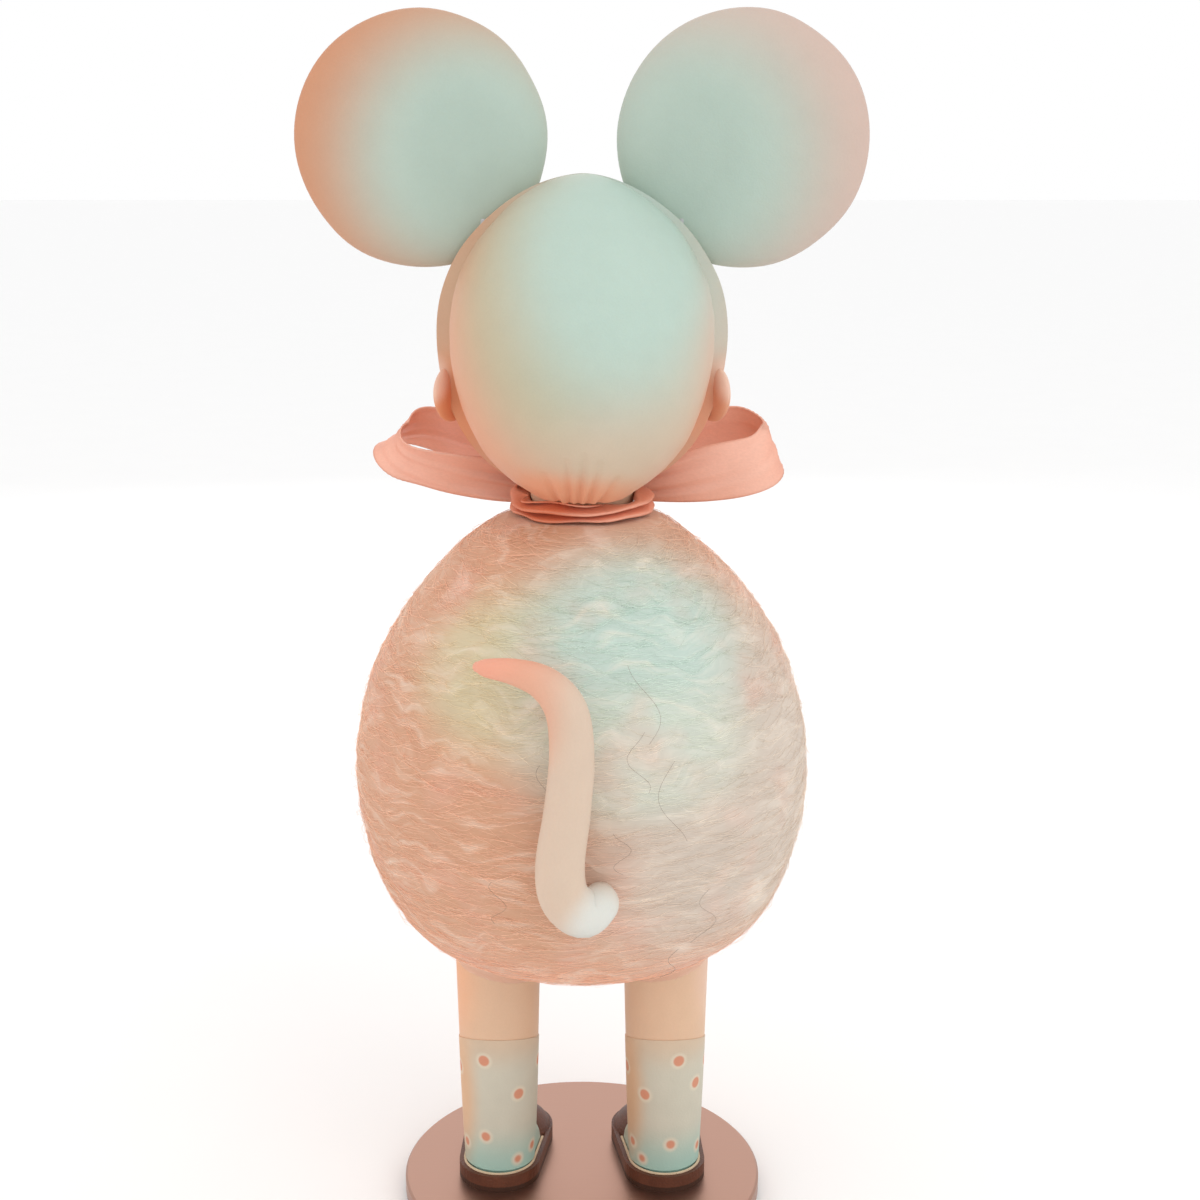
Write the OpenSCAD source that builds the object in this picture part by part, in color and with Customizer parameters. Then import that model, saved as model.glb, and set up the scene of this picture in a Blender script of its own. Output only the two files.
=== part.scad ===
// A standing mouse doll: painted clay head and limbs, a felted wool body over a two-part shell,
// a satin ribbon round the neck, and a round metal plate that the legs are bolted to.
// Millimetres. The origin is on the underside of the felt pad, below the plate's centre.
// +Z is up and the doll faces -Y, so its left side is at +X.

/* [Base] */
// Diameter of the round plate
base_d = 68.4; // [60:1:120]
// Thickness of the round plate
base_t = 3; // [3:0.5:8]
// Thickness of the felt pad under the plate
pad_t = 1; // [0.5:0.1:3]
// Width of the plate's underside that the pad leaves bare
pad_inset = 2; // [0.5:0.5:6]
// Bevel on the plate's upper edge
base_bevel = 0.4; // [0.1:0.1:1]

/* [Legs] */
// Height of the wool body's lowest point above the plate
leg_len = 47; // [42:1:80]
// Distance of each leg from the middle
leg_x = 15.8; // [13:0.2:19]
// Distance of the legs behind the plate's centre
leg_y = 2; // [0:0.5:5]
// Diameter of a leg where it enters the body
thigh_d = 16.2; // [12:0.2:18]
// Diameter of a leg at the ankle, sock included
ankle_d = 12.8; // [11:0.2:15]
// Diameter of the steel rod in each leg
rod_d = 3; // [2:0.5:4]
// Thickness of a sock
sock_t = 0.8; // [0.5:0.1:1.2]
// Height of the middle of a sock's rim above the plate
sock_h = 28.5; // [18:0.5:38]
// Tilt of a sock's rim, higher at the back
sock_tilt = 18; // [0:1:25]

/* [Shoes] */
// Distance from the leg's axis to the middle of the toes
toe_reach = 12.5; // [9:0.5:16]
// Outer radius of a shoe at the toes
toe_r = 8.6; // [7.5:0.1:9.5]
// Angle by which the toes turn in
toe_in = 6; // [0:1:12]
// Thickness of a sole
sole_t = 1; // [0.8:0.1:2.5]
// Height of a shoe's side wall above its sole
shoe_wall_h = 2.2; // [1.5:0.1:4]
// Thickness of a shoe's outer leather
leather_t = 0.8; // [0.5:0.1:1.2]
// Thickness of a shoe's lining and insole
lining_t = 0.4; // [0.3:0.1:0.8]
// Height of the toe cap above the sole
toe_cap_h = 6; // [6:0.5:9]

/* [Body] */
// Radius of the wool body at its widest
body_r = 41.5; // [36:0.5:50]
// Height of the body's egg above its widest ring
body_up = 51; // [46:1:62]
// Depth of the body's egg below its widest ring
body_low = 36; // [32:1:44]
// Thickness of the wool coat
coat_t = 2; // [1.2:0.1:3]
// Thickness of the two-part shell under the wool
shell_t = 2.4; // [1.6:0.2:4]
// Height of the lap where the two shells meet
lap_h = 3; // [2:0.5:6]
// Height of the wooden block that holds the rods and the spine
hip_h = 12; // [10:1:18]
// Diameter of the wooden spine
spine_d = 8; // [6:0.5:9]

/* [Neck] */
// Height that is cut off the tip of the egg at the shoulders
tip_cut = 4.5; // [3:0.5:7]
// Length of the neck between the shoulders and the head
neck_len = 4; // [4:0.5:8]
// Diameter of the neck
neck_d = 18.4; // [17:0.2:20]
// Thickness of the washer that the head turns on
washer_t = 0.5; // [0.3:0.1:1]

/* [Head] */
// Radius of the front of the head at its widest
face_r = 25.7; // [24:0.1:28]
// Radius of the back of the head at its widest
skull_r = 22.9; // [21:0.2:23.5]
// Distance of the back of the head's axis behind the neck
skull_y = 2; // [0:0.2:3]
// Height of the head above its widest ring
head_up = 27.2; // [24:0.2:31]
// Depth of the head below its widest ring
head_low = 28.2; // [26:0.2:32]
// Thickness of the head's wall at the back
head_wall = 2.6; // [2:0.2:3.4]
// Radius of the muzzle
muzzle_r = 8.5; // [6.5:0.5:9]
// Radius of the nose
nose_r = 2.4; // [1.8:0.2:3]
// Radius of an eye bead
eye_r = 2.5; // [1.8:0.1:3]

/* [Ears] */
// Diameter of a round ear
ear_d = 44; // [36:0.5:52]
// Thickness of a round ear in its middle
ear_t = 7; // [5.6:0.2:9]
// Distance of an ear's centre from the middle
ear_x = 27.6; // [25:0.2:32]
// Height of an ear's centre above the head's widest ring
ear_lift = 32.7; // [29:0.5:36]
// Angle by which an ear's outer edge turns back
ear_turn = 10; // [0:1:14]
// Diameter of a small ear at the side of the head
side_ear_d = 10.4; // [8:0.4:13]

/* [Ribbon] */
// Width of the ribbon
ribbon_w = 10.5; // [9:0.5:13]
// Thickness of the ribbon
ribbon_t = 0.4; // [0.3:0.1:0.6]
// Distance of a bow loop's end from the middle
bow_reach = 35; // [32:1:44]
// Tilt of the ribbon round the neck, higher at the front
collar_tilt = 3; // [0:0.5:5]

/* [Tail and arms] */
// Height of the tail's peg above the body's lowest point
tail_lift = 25.5; // [24:0.5:32]
// Angle of the tail's peg round from the middle of the back
tail_round = 4; // [0:1:10]
// Radius of the tail at its thickest
tail_r = 4.1; // [3.4:0.1:4.6]
// Diameter of the tail's peg
tail_peg_d = 3; // [2:0.2:4]
// Height of an arm's peg above the body's widest ring
shoulder_lift = 24; // [20:1:28]
// Angle of an arm's peg round from the front
shoulder_turn = 38; // [34:1:44]
// Angle by which an arm's peg rises as it leaves the body
shoulder_rise = 26; // [15:1:35]
// Radius of an arm at its thickest
arm_r = 3.7; // [3:0.1:4.2]
// Diameter of an arm's peg
arm_peg_d = 2.4; // [1.6:0.2:3]

/* [Fits] */
// Gap between glued pieces
glue_gap = 0.05; // [0.02:0.01:0.08]
// Gap round a part that turns in a bore
turn_gap = 0.05; // [0.02:0.01:0.08]
// Gap between a part that moves and what it passes
clear_gap = 0.6; // [0.4:0.1:1.2]

/* [Hidden] */

LEFT = 1;
RIGHT = -1;
far = 400;          // longer than the doll, for cutting blocks
round_fn = 96;      // facets drawn on a turned shape
egg_steps = 36;     // bands on a turned egg
over = 1;           // how far a cutter runs past the face it cuts

// Heights, from the table up
plate_top = pad_t + base_t;
body_base = plate_top + leg_len;
body_mid = body_base + body_low;
coat_top = body_mid + body_up - tip_cut;
neck_top = coat_top + neck_len;
head_base = neck_top + washer_t + 2 * turn_gap;
head_cut = 0.8;     // how much of the head's lower tip is cut flat
head_mid = head_base + head_low - head_cut;

// Fasteners
nut_w = 5.5;
nut_t = 1.5;
nut_washer_t = 0.4;
nut_washer_d = 6.4;
nut_pocket_d = 7;
rod_bottom = pad_t + 0.1;
rod_grip = hip_h - 4;

// Egg shapes: a power under 1 fills a half out, and one over 1 draws it in
body_up_power = 1.24;
body_low_power = 0.46;
head_up_power = 1.2;
head_low_power = 0.75;

// ---------- curves and turned shapes ----------

// Point of an egg's outline, at t degrees from its top: [radius, height]
function egg_point(t, r, up, low, up_power, low_power) =
    t < 90 ? [r * pow(sin(t), up_power), up * cos(t)]
           : [r * pow(sin(t), low_power), low * cos(t)];

module egg(r, up, low, up_power, low_power) {
    outline = [for (i = [1 : egg_steps - 1])
        egg_point(180 * i / egg_steps, r, up, low, up_power, low_power)];
    rotate_extrude($fn = round_fn) polygon(concat([[0, up]], outline, [[0, -low]]));
}

// The body's egg, taken in by inset
module body_egg(inset) {
    translate([0, 0, body_mid])
        egg(body_r - inset, body_up - inset, body_low - inset, body_up_power, body_low_power);
}

// Radius of the wool coat at height z
function coat_r(z) =
    let (above = z > body_mid,
         share = (z - body_mid) / (above ? body_up : body_low))
    body_r * pow(sqrt(1 - share * share), above ? body_up_power : body_low_power);

// A point at turn degrees round from the front, off the coat by away
function on_coat(turn, z, away) =
    [(coat_r(z) + away) * sin(turn), -(coat_r(z) + away) * cos(turn), z];

// The left side as drawn, or its mirror image on the right
module on_side(side) {
    if (side == LEFT) children();
    else mirror([1, 0, 0]) children();
}
module left_and_right() {
    for (side = [LEFT, RIGHT]) on_side(side) children();
}

// Half-space blocks
module above(z) { translate([-far / 2, -far / 2, z]) cube(far); }
module below(z) { translate([-far / 2, -far / 2, z - far]) cube(far); }
module behind(y) { translate([-far / 2, y, -far / 2]) cube(far); }
module before(y) { translate([-far / 2, y - far, -far / 2]) cube(far); }

function unit(v) = v / norm(v);

// Smooth curve through rows of numbers, with steps pieces between each two rows
function smooth(rows, steps) = concat(
    [for (i = [0 : len(rows) - 2], s = [0 : steps - 1])
        let (a = rows[max(i - 1, 0)], b = rows[i], c = rows[i + 1],
             d = rows[min(i + 2, len(rows) - 1)], u = s / steps)
        0.5 * (2 * b + (c - a) * u + (2 * a - 5 * b + 4 * c - d) * u * u
               + (3 * b - a - 3 * c + d) * u * u * u)],
    [rows[len(rows) - 1]]);

// Closed solid over rings of points that all have the same count
module skin(rings) {
    n = len(rings[0]);
    m = len(rings);
    sides = [for (i = [0 : m - 2], j = [0 : n - 1], half = [0, 1])
        let (a = i * n + j, b = i * n + (j + 1) % n, c = b + n, d = a + n)
        half == 0 ? [a, c, b] : [a, d, c]];
    first = [for (j = [1 : n - 2]) [0, j, j + 1]];
    last = [for (j = [1 : n - 2]) [(m - 1) * n, (m - 1) * n + j + 1, (m - 1) * n + j]];
    polyhedron(points = [for (r = rings) each r], faces = concat(sides, first, last), convexity = 6);
}

// Direction of travel at row i of a path
function heading(path, i) =
    unit(point(path[min(i + 1, len(path) - 1)]) - point(path[max(i - 1, 0)]));
function point(row) = [row[0], row[1], row[2]];

// Round bar along rows of [x, y, z, radius]; ref is never along the path
module bar(path, ref, sides = 16) {
    skin([for (i = [0 : len(path) - 1])
        let (t = heading(path, i), u = unit(cross(ref, t)), v = cross(t, u))
        [for (k = [0 : sides - 1])
            point(path[i]) + path[i][3] * (cos(360 * k / sides) * u + sin(360 * k / sides) * v)]]);
}

// Flat strip along rows of [x, y, z, width, width direction x, y, z]
module strip(path) {
    skin([for (i = [0 : len(path) - 1])
        let (t = heading(path, i),
             raw = [path[i][4], path[i][5], path[i][6]],
             w = unit(raw - (raw * t) * t) * path[i][3] / 2,
             h = unit(cross(t, w)) * ribbon_t / 2)
        [for (c = [w + h, -w + h, -w - h, w - h]) point(path[i]) + c]]);
}

// ---------- base ----------

module at_legs() {
    for (side = [LEFT, RIGHT]) translate([side * leg_x, leg_y, 0]) children();
}

module base_pad() {
    color("dimgray") cylinder(d = base_d - 2 * pad_inset, h = pad_t, $fn = round_fn);
}

module base_plate() {
    color("rosybrown") difference() {
        translate([0, 0, pad_t]) union() {
            cylinder(d = base_d, h = base_t - base_bevel, $fn = round_fn);
            translate([0, 0, base_t - base_bevel])
                cylinder(d1 = base_d, d2 = base_d - 2 * base_bevel, h = base_bevel, $fn = round_fn);
        }
        at_legs() {
            cylinder(d = rod_d + 0.2, h = plate_top + over, $fn = 32);
            cylinder(d = nut_pocket_d, h = pad_t + nut_t + nut_washer_t + 0.1, $fn = 32);
        }
    }
}

module foot_nuts() {
    color("silver") at_legs() translate([0, 0, rod_bottom]) difference() {
        cylinder(d = nut_w / cos(30), h = nut_t, $fn = 6);
        translate([0, 0, -over]) cylinder(d = rod_d + 2 * glue_gap, h = nut_t + 2 * over, $fn = 32);
    }
}

module foot_washers() {
    color("silver") at_legs() translate([0, 0, rod_bottom + nut_t]) difference() {
        cylinder(d = nut_washer_d, h = nut_washer_t, $fn = 32);
        translate([0, 0, -over])
            cylinder(d = rod_d + 2 * glue_gap, h = nut_washer_t + 2 * over, $fn = 32);
    }
}

// ---------- legs and shoes ----------

sole_top = plate_top + sole_t;
insole_top = sole_top + lining_t;
sock_foot_z = insole_top + glue_gap;
hip_z = body_base + coat_t + shell_t + 0.6;
heel_r = ankle_d / 2 + lining_t + leather_t + 0.15;
heel_y = 0.6;

// Radius of a dressed leg at height z, which widens fastest just above the ankle
function leg_r(z) =
    ankle_d / 2 + (thigh_d - ankle_d) / 2 * pow(max(z - plate_top, 0) / leg_len, 0.65);

// Round form that follows a leg between two heights, taken in by inset
module leg_form(z0, z1, inset) {
    steps = 10;
    outline = [for (i = [0 : steps]) let (z = z0 + (z1 - z0) * i / steps) [leg_r(z) - inset, z]];
    rotate_extrude($fn = 64) polygon(concat([[0, z0]], outline, [[0, z1]]));
}

// Everything below a sock's rim, which is raised by lift
module below_rim(lift) {
    translate([0, 0, plate_top + sock_h + lift]) rotate([sock_tilt, 0, 0])
        translate([-far / 2, -far / 2, -far]) cube(far);
}

module rod_bore(gap) {
    translate([0, 0, -over]) cylinder(d = rod_d + 2 * gap, h = far / 2, $fn = 32);
}

// Places children on a leg's axis
module on_leg(side) {
    on_side(side) translate([leg_x, leg_y, 0]) children();
}

module leg_rod(side) {
    color("silver") on_leg(side) translate([0, 0, rod_bottom])
        cylinder(d = rod_d, h = hip_z + rod_grip - rod_bottom, $fn = 32);
}

// Core that the sock is pulled over
module leg_core(grow) {
    leg_form(sock_foot_z + sock_t, hip_z - over, sock_t + glue_gap - grow);
}

module leg(side) {
    color("wheat") on_leg(side) difference() {
        union() {
            leg_core(0);
            difference() {
                leg_form(plate_top, hip_z - glue_gap, 0.15);
                below_rim(glue_gap);
            }
        }
        rod_bore(glue_gap);
    }
}

// Outline of a shoe, taken in by inset
module shoe_outline(inset) {
    hull() {
        translate([0, heel_y]) circle(r = heel_r - inset, $fn = 48);
        translate([0, -toe_reach]) circle(r = toe_r - inset, $fn = 48);
    }
}

// Dome over the toes, taken in by inset
module toe_dome(inset) {
    dome = [for (i = [0 : 12]) let (t = 90 * i / 12)
        [(toe_r - inset) * pow(cos(t), 0.7), (toe_cap_h - inset) * sin(t)]];
    translate([0, -toe_reach, sole_top])
        rotate_extrude($fn = 48) polygon(concat([[0, 0]], dome));
}

mouth_back = 3.4;   // from the middle of the toes back to the mouth's edge at the sole
mouth_slope = 28;   // how far that edge leans back from upright

// Everything in front of a shoe's mouth, whose edge slopes back as it goes down
module before_mouth(shift) {
    translate([0, -toe_reach + mouth_back + shift, sole_top]) rotate([-mouth_slope, 0, 0]) before(0);
}

module foot_turn() {
    rotate([0, 0, -toe_in]) children();
}

shoe_gap = 0.2;     // between a sock and the inside of its shoe
lining_top = sole_top + shoe_wall_h + 0.2;

// The front of a foot, inside the toe cap
module sock_toes(inset) {
    intersection() {
        toe_dome(inset);
        above(sock_foot_z);
    }
}

module sock(side) {
    toe_gap = leather_t + lining_t + shoe_gap;
    ankle_r = heel_r - leather_t - glue_gap - lining_t - shoe_gap;
    color("lightcyan") on_leg(side) difference() {
        union() {
            difference() {
                intersection() {
                    leg_form(lining_top + shoe_gap, plate_top + leg_len - over, 0);
                    below_rim(0);
                }
                foot_turn() intersection() {
                    toe_dome(-shoe_gap);
                    before_mouth(shoe_gap);
                }
            }
            foot_turn() sock_toes(toe_gap);
            foot_turn() difference() {
                hull() {
                    sock_toes(toe_gap);
                    translate([0, 0, sock_foot_z]) cylinder(r = ankle_r, h = toe_cap_h + 2, $fn = 32);
                }
                before_mouth(shoe_gap);
            }
        }
        leg_core(glue_gap);
        rod_bore(glue_gap);
    }
}

module shoe_sole(side) {
    color("saddlebrown") on_leg(side) difference() {
        foot_turn() translate([0, 0, plate_top]) linear_extrude(sole_t) shoe_outline(0);
        rod_bore(glue_gap);
    }
}

// Toe cap between two insets, up to a line behind the mouth's edge
module toe_cap(inset, t, behind_edge) {
    intersection() {
        difference() {
            toe_dome(inset);
            toe_dome(inset + t);
            below(sole_top + over / 2);
        }
        before_mouth(behind_edge);
    }
}

module shoe_wall(inset, t, wall_h) {
    translate([0, 0, sole_top]) linear_extrude(wall_h) difference() {
        shoe_outline(inset);
        shoe_outline(inset + t);
    }
}

// Side wall and toe cap between two insets
module shoe_skin(inset, t, wall_h) {
    shoe_wall(inset, t, wall_h);
    toe_cap(inset, t, 0);
}

module shoe_lining(side) {
    inset = leather_t + glue_gap;
    color("bisque") on_leg(side) difference() {
        foot_turn() union() {
            difference() {
                union() {
                    translate([0, 0, sole_top]) linear_extrude(lining_t) shoe_outline(inset);
                    shoe_wall(inset, lining_t, lining_top - sole_top);
                }
                toe_cap(-over, inset + over, glue_gap);
            }
            toe_cap(inset + glue_gap, lining_t, 0);
        }
        rod_bore(glue_gap);
    }
}

module shoe_upper(side) {
    color("sienna") on_leg(side) foot_turn() shoe_skin(0, leather_t, shoe_wall_h);
}

// ---------- body ----------

module leg_holes(gap) {
    at_legs() leg_form(plate_top, hip_z + over, -gap);
}

// Places children on a peg's axis: 0 is on the coat and +Z points out of the body
module at_peg(turn, z, rise) {
    translate(on_coat(turn, z, 0)) rotate([90 - rise, 0, turn]) children();
}

tail_z = body_base + tail_lift;
module at_tail_peg() { at_peg(180 + tail_round, tail_z, 0) children(); }

arm_z = body_mid + shoulder_lift;
module at_arm_peg() { at_peg(shoulder_turn, arm_z, shoulder_rise) children(); }

peg_depth = 15;     // how far a peg runs in from the coat
peg_reach = 6;      // how far a peg stands out of the coat

// Round bar on a peg's axis, from depth inside the coat to reach outside it
module peg_bar(d, depth, reach) {
    translate([0, 0, -depth]) cylinder(d = d, h = depth + reach, $fn = 32);
}

module peg_holes(gap) {
    at_tail_peg() peg_bar(tail_peg_d + 2 * gap, peg_depth, peg_depth);
    left_and_right() at_arm_peg() peg_bar(arm_peg_d + 2 * gap, peg_depth, peg_depth);
}

// Wooden block behind the shell that a peg turns in
module peg_block(d) {
    difference() {
        peg_bar(4 * d, peg_depth + over, 0);
        peg_bar(d + 2 * turn_gap, 2 * peg_depth, over);
    }
}

module hip_block() {
    color("burlywood") difference() {
        intersection() {
            translate([0, 0, hip_z]) cylinder(r = leg_x + thigh_d / 2, h = hip_h, $fn = round_fn);
            body_egg(coat_t + shell_t + 2 * glue_gap);
        }
        at_legs() translate([0, 0, hip_z - over]) cylinder(d = rod_d + 2 * glue_gap, h = rod_grip + over + 0.2, $fn = 32);
        translate([0, 0, hip_z + 2]) cylinder(d = spine_d + 2 * glue_gap, h = hip_h, $fn = 48);
    }
}

// Ring inside the lower shell that the upper shell laps over
module lap_ring(gap) {
    translate([0, 0, body_mid - over]) difference() {
        cylinder(r = body_r - coat_t - shell_t / 2 + gap, h = lap_h + over + gap, $fn = round_fn);
        translate([0, 0, -over]) cylinder(r = body_r - coat_t - shell_t - gap, h = lap_h + 4 * over, $fn = round_fn);
    }
}

module shell_wall() {
    difference() {
        body_egg(coat_t + glue_gap);
        body_egg(coat_t + shell_t);
    }
}

module body_shell_lower() {
    color("tan") difference() {
        union() {
            intersection() {
                shell_wall();
                below(body_mid);
            }
            intersection() {
                lap_ring(0);
                above(body_mid);
                body_egg(coat_t + shell_t / 2);
            }
        }
        leg_holes(glue_gap);
        peg_holes(turn_gap + 0.04);
    }
}

module body_shell_upper() {
    color("tan") difference() {
        intersection() {
            shell_wall();
            above(body_mid + glue_gap);
            below(coat_top - coat_t - over);
        }
        lap_ring(glue_gap);
        translate([0, 0, body_mid]) cylinder(d = spine_d + 2 * glue_gap, h = body_up, $fn = 48);
        peg_holes(turn_gap + 0.04);
    }
}

module wool_coat() {
    color("mistyrose") difference() {
        intersection() {
            body_egg(0);
            below(coat_top);
        }
        body_egg(coat_t);
        leg_holes(glue_gap);
        translate([0, 0, body_mid]) cylinder(d = neck_d + 2 * glue_gap, h = body_up, $fn = 64);
        peg_holes(turn_gap + 0.04);
    }
}

// ---------- neck ----------

bush_wall = 2;
bush_len = 10.2;
bush_flange_d = 16;
bush_flange_t = 1;
bush_top = head_base + bush_len;
spine_top = bush_top + 2 * turn_gap;
screw_d = 3;
screw_len = 14;
screw_washer_d = 15;
screw_washer_t = 1;

module on_neck(z) { translate([0, 0, z]) children(); }

module spine_dowel() {
    color("burlywood") difference() {
        on_neck(hip_z + 2 + glue_gap) cylinder(d = spine_d, h = spine_top - hip_z - 2 - glue_gap, $fn = 48);
        on_neck(spine_top - screw_len) cylinder(d = screw_d + 2 * glue_gap, h = screw_len + over, $fn = 32);
    }
}

module neck_stub() {
    color("seashell") difference() {
        on_neck(coat_top - coat_t - over + glue_gap)
            cylinder(d = neck_d, h = neck_len + coat_t + over - glue_gap, $fn = 64);
        on_neck(body_mid) cylinder(d = spine_d + 2 * glue_gap, h = body_up, $fn = 48);
    }
}

module neck_washer() {
    color("ivory") on_neck(neck_top) difference() {
        cylinder(d = neck_d - 1, h = washer_t, $fn = 64);
        translate([0, 0, -over]) cylinder(d = spine_d + 2 * glue_gap, h = washer_t + 2 * over, $fn = 48);
    }
}

module neck_bush() {
    bush_d = spine_d + 2 * turn_gap + 2 * bush_wall;
    color("goldenrod") on_neck(head_base) difference() {
        union() {
            cylinder(d = bush_d, h = bush_len, $fn = 64);
            translate([0, 0, bush_len - bush_flange_t]) cylinder(d = bush_flange_d, h = bush_flange_t, $fn = 64);
        }
        translate([0, 0, -over]) cylinder(d = spine_d + 2 * turn_gap, h = bush_len + 2 * over, $fn = 64);
    }
}

module head_screw_washer() {
    color("silver") on_neck(spine_top) difference() {
        cylinder(d = screw_washer_d, h = screw_washer_t, $fn = 48);
        translate([0, 0, -over]) cylinder(d = screw_d + 2 * glue_gap, h = screw_washer_t + 2 * over, $fn = 32);
    }
}

module head_screw() {
    color("silver") difference() {
        union() {
            on_neck(spine_top - screw_len + 0.5)
                cylinder(d = screw_d, h = screw_len - 0.5 + screw_washer_t, $fn = 32);
            on_neck(spine_top + screw_washer_t) cylinder(d1 = 2.2 * screw_d, d2 = 1.6 * screw_d, h = 2, $fn = 32);
        }
        on_neck(spine_top + screw_washer_t + 2) cube([screw_d * 2, 0.7, 1.6], center = true);
    }
}

// ---------- head ----------

// The head's two outer forms, taken in by inset
module skull_form(inset) {
    translate([0, skull_y, head_mid])
        egg(skull_r - inset, head_up - inset, head_low - inset, head_up_power, head_low_power);
}
module face_form(inset) {
    translate([0, 0, head_mid])
        egg(face_r - inset, head_up - inset, head_low - inset, head_up_power, head_low_power);
}

boss_top = bush_top - bush_flange_t;
muzzle_y = -face_r + 5;
muzzle_z = head_mid - 7;
nose_y = muzzle_y - muzzle_r + 0.4;
nose_z = muzzle_z + 2;
eye_x = 9.2;
eye_z = head_mid + 1.4;
eye_y = -sqrt(face_r * face_r - eye_x * eye_x) + 1;
eye_back_t = 1;         // straight part behind the half-round front

module head_cavity() {
    intersection() {
        skull_form(head_wall);
        above(boss_top);
    }
}

module bush_bore() {
    on_neck(head_base - over)
        cylinder(d = spine_d + 2 * turn_gap + 2 * bush_wall + 2 * glue_gap, h = bush_len + 2 * over, $fn = 64);
}

module skull_back() {
    color("powderblue") difference() {
        intersection() {
            skull_form(0);
            behind(glue_gap / 2);
            above(head_base);
        }
        head_cavity();
        bush_bore();
    }
}

module face_front() {
    color("powderblue") difference() {
        union() {
            intersection() {
                face_form(0);
                before(-glue_gap / 2);
                above(head_base);
            }
            translate([0, muzzle_y, muzzle_z]) sphere(r = muzzle_r, $fn = 64);
        }
        head_cavity();
        bush_bore();
        translate([0, nose_y, nose_z]) sphere(r = nose_r + glue_gap, $fn = 32);
        left_and_right() {
            eye_pocket();
            ear_pin_line() cylinder(d = ear_pin_d + 2 * glue_gap, h = ear_pin_len, $fn = 24);
        }
    }
}

module nose() { color("lightcoral") translate([0, nose_y, nose_z]) sphere(r = nose_r, $fn = 32); }
// Half-round bead on a short round back, let into the face
module eye_bead() {
    translate([eye_x, eye_y, eye_z]) intersection() {
        union() {
            sphere(r = eye_r, $fn = 32);
            rotate([-90, 0, 0]) cylinder(r = eye_r, h = eye_back_t, $fn = 32);
        }
        before(eye_back_t);
    }
}

// Straight round pocket for the bead
module eye_pocket() {
    translate([eye_x, eye_y + eye_back_t + glue_gap, eye_z])
        rotate([90, 0, 0]) cylinder(r = eye_r + glue_gap, h = 2 * eye_r, $fn = 48);
}

module eye(side) {
    color("black") on_side(side) eye_bead();
}

// ---------- ears ----------

ear_y = -3.4;
ear_z = head_mid + ear_lift;
ear_pin_d = 2;
ear_pin_len = 15;
ear_pin_z = head_mid + head_up - 13;
ear_pin_x = 14;

// Runs from inside the head's wall out into the ear
module ear_pin_line() {
    rise = atan2(ear_z - ear_pin_z, ear_x - ear_pin_x);
    translate([ear_pin_x, ear_y, ear_pin_z]) rotate([0, 90 - rise, 0]) translate([0, 0, -1]) children();
}

module ear(side) {
    rim = [for (i = [0 : 24]) let (t = -90 + 180 * i / 24)
        [ear_d / 2 * pow(cos(t), 0.42), ear_t / 2 * sin(t)]];
    color("powderblue") on_side(side) difference() {
        translate([ear_x, ear_y, ear_z]) rotate([0, 0, ear_turn]) rotate([90, 0, 0])
            rotate_extrude($fn = round_fn) polygon(rim);
        skull_form(-glue_gap);
        face_form(-glue_gap);
        ear_pin_line() cylinder(d = ear_pin_d + 2 * glue_gap, h = ear_pin_len, $fn = 24);
    }
}

module ear_pin(side) {
    color("silver") on_side(side) ear_pin_line() translate([0, 0, 0.2]) cylinder(d = ear_pin_d, h = ear_pin_len - 0.4, $fn = 24);
}

side_ear_t = 2.4;
side_ear_sunk = 2.6;    // its middle inside the face's widest ring
side_ear_y = -2.2;
side_ear_drop = 11;     // below that ring
side_ear_turn = 58;     // 0 faces the front, 90 the side

module side_ear(side) {
    lens = [for (i = [0 : 12]) let (t = -90 + 180 * i / 12)
        [side_ear_d / 2 * pow(cos(t), 0.5), side_ear_t / 2 * sin(t)]];
    color("peachpuff") on_side(side) difference() {
        translate([face_r - side_ear_sunk, side_ear_y, head_mid - side_ear_drop])
            rotate([0, 0, side_ear_turn]) rotate([90, 0, 0])
            rotate_extrude($fn = 48) polygon(lens);
        skull_form(-glue_gap);
        face_form(-glue_gap);
    }
}

// ---------- ribbon ----------

collar_r = neck_d / 2 + 0.6;
collar_t = 1;       // the ribbon lies scrunched and doubled round the neck
knot_w = 6;
knot_d = 6.6;
knot_back = -collar_r - collar_t - glue_gap;
knot_y = knot_back - 0.64 * knot_d;
knot_low = coat_top + 0.3;
knot_h = head_base + 0.7 - knot_low;
knot_z = knot_low + knot_h / 2;

collar_low = coat_top + 0.1;
collar_high = head_base - 0.4;
collar_h = (collar_high - collar_low - 2 * (collar_r + collar_t) * sin(collar_tilt)) / cos(collar_tilt);

module tilted_collar(r, h) {
    translate([0, 0, (collar_low + collar_high) / 2]) rotate([-collar_tilt, 0, 0])
        cylinder(r = r, h = h, center = true, $fn = 64);
}

module ribbon_collar() {
    color("salmon") difference() {
        tilted_collar(collar_r + collar_t, collar_h);
        tilted_collar(collar_r, 2 * collar_h);
    }
}

module ribbon_knot() {
    color("salmon") difference() {
        translate([-knot_w / 2, knot_back - knot_d, knot_low]) cube([knot_w, knot_d, knot_h]);
        tilted_collar(collar_r + collar_t + glue_gap, 4 * collar_h);
        skull_form(-clear_gap - skull_y);
        face_form(-clear_gap);
    }
}

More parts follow.
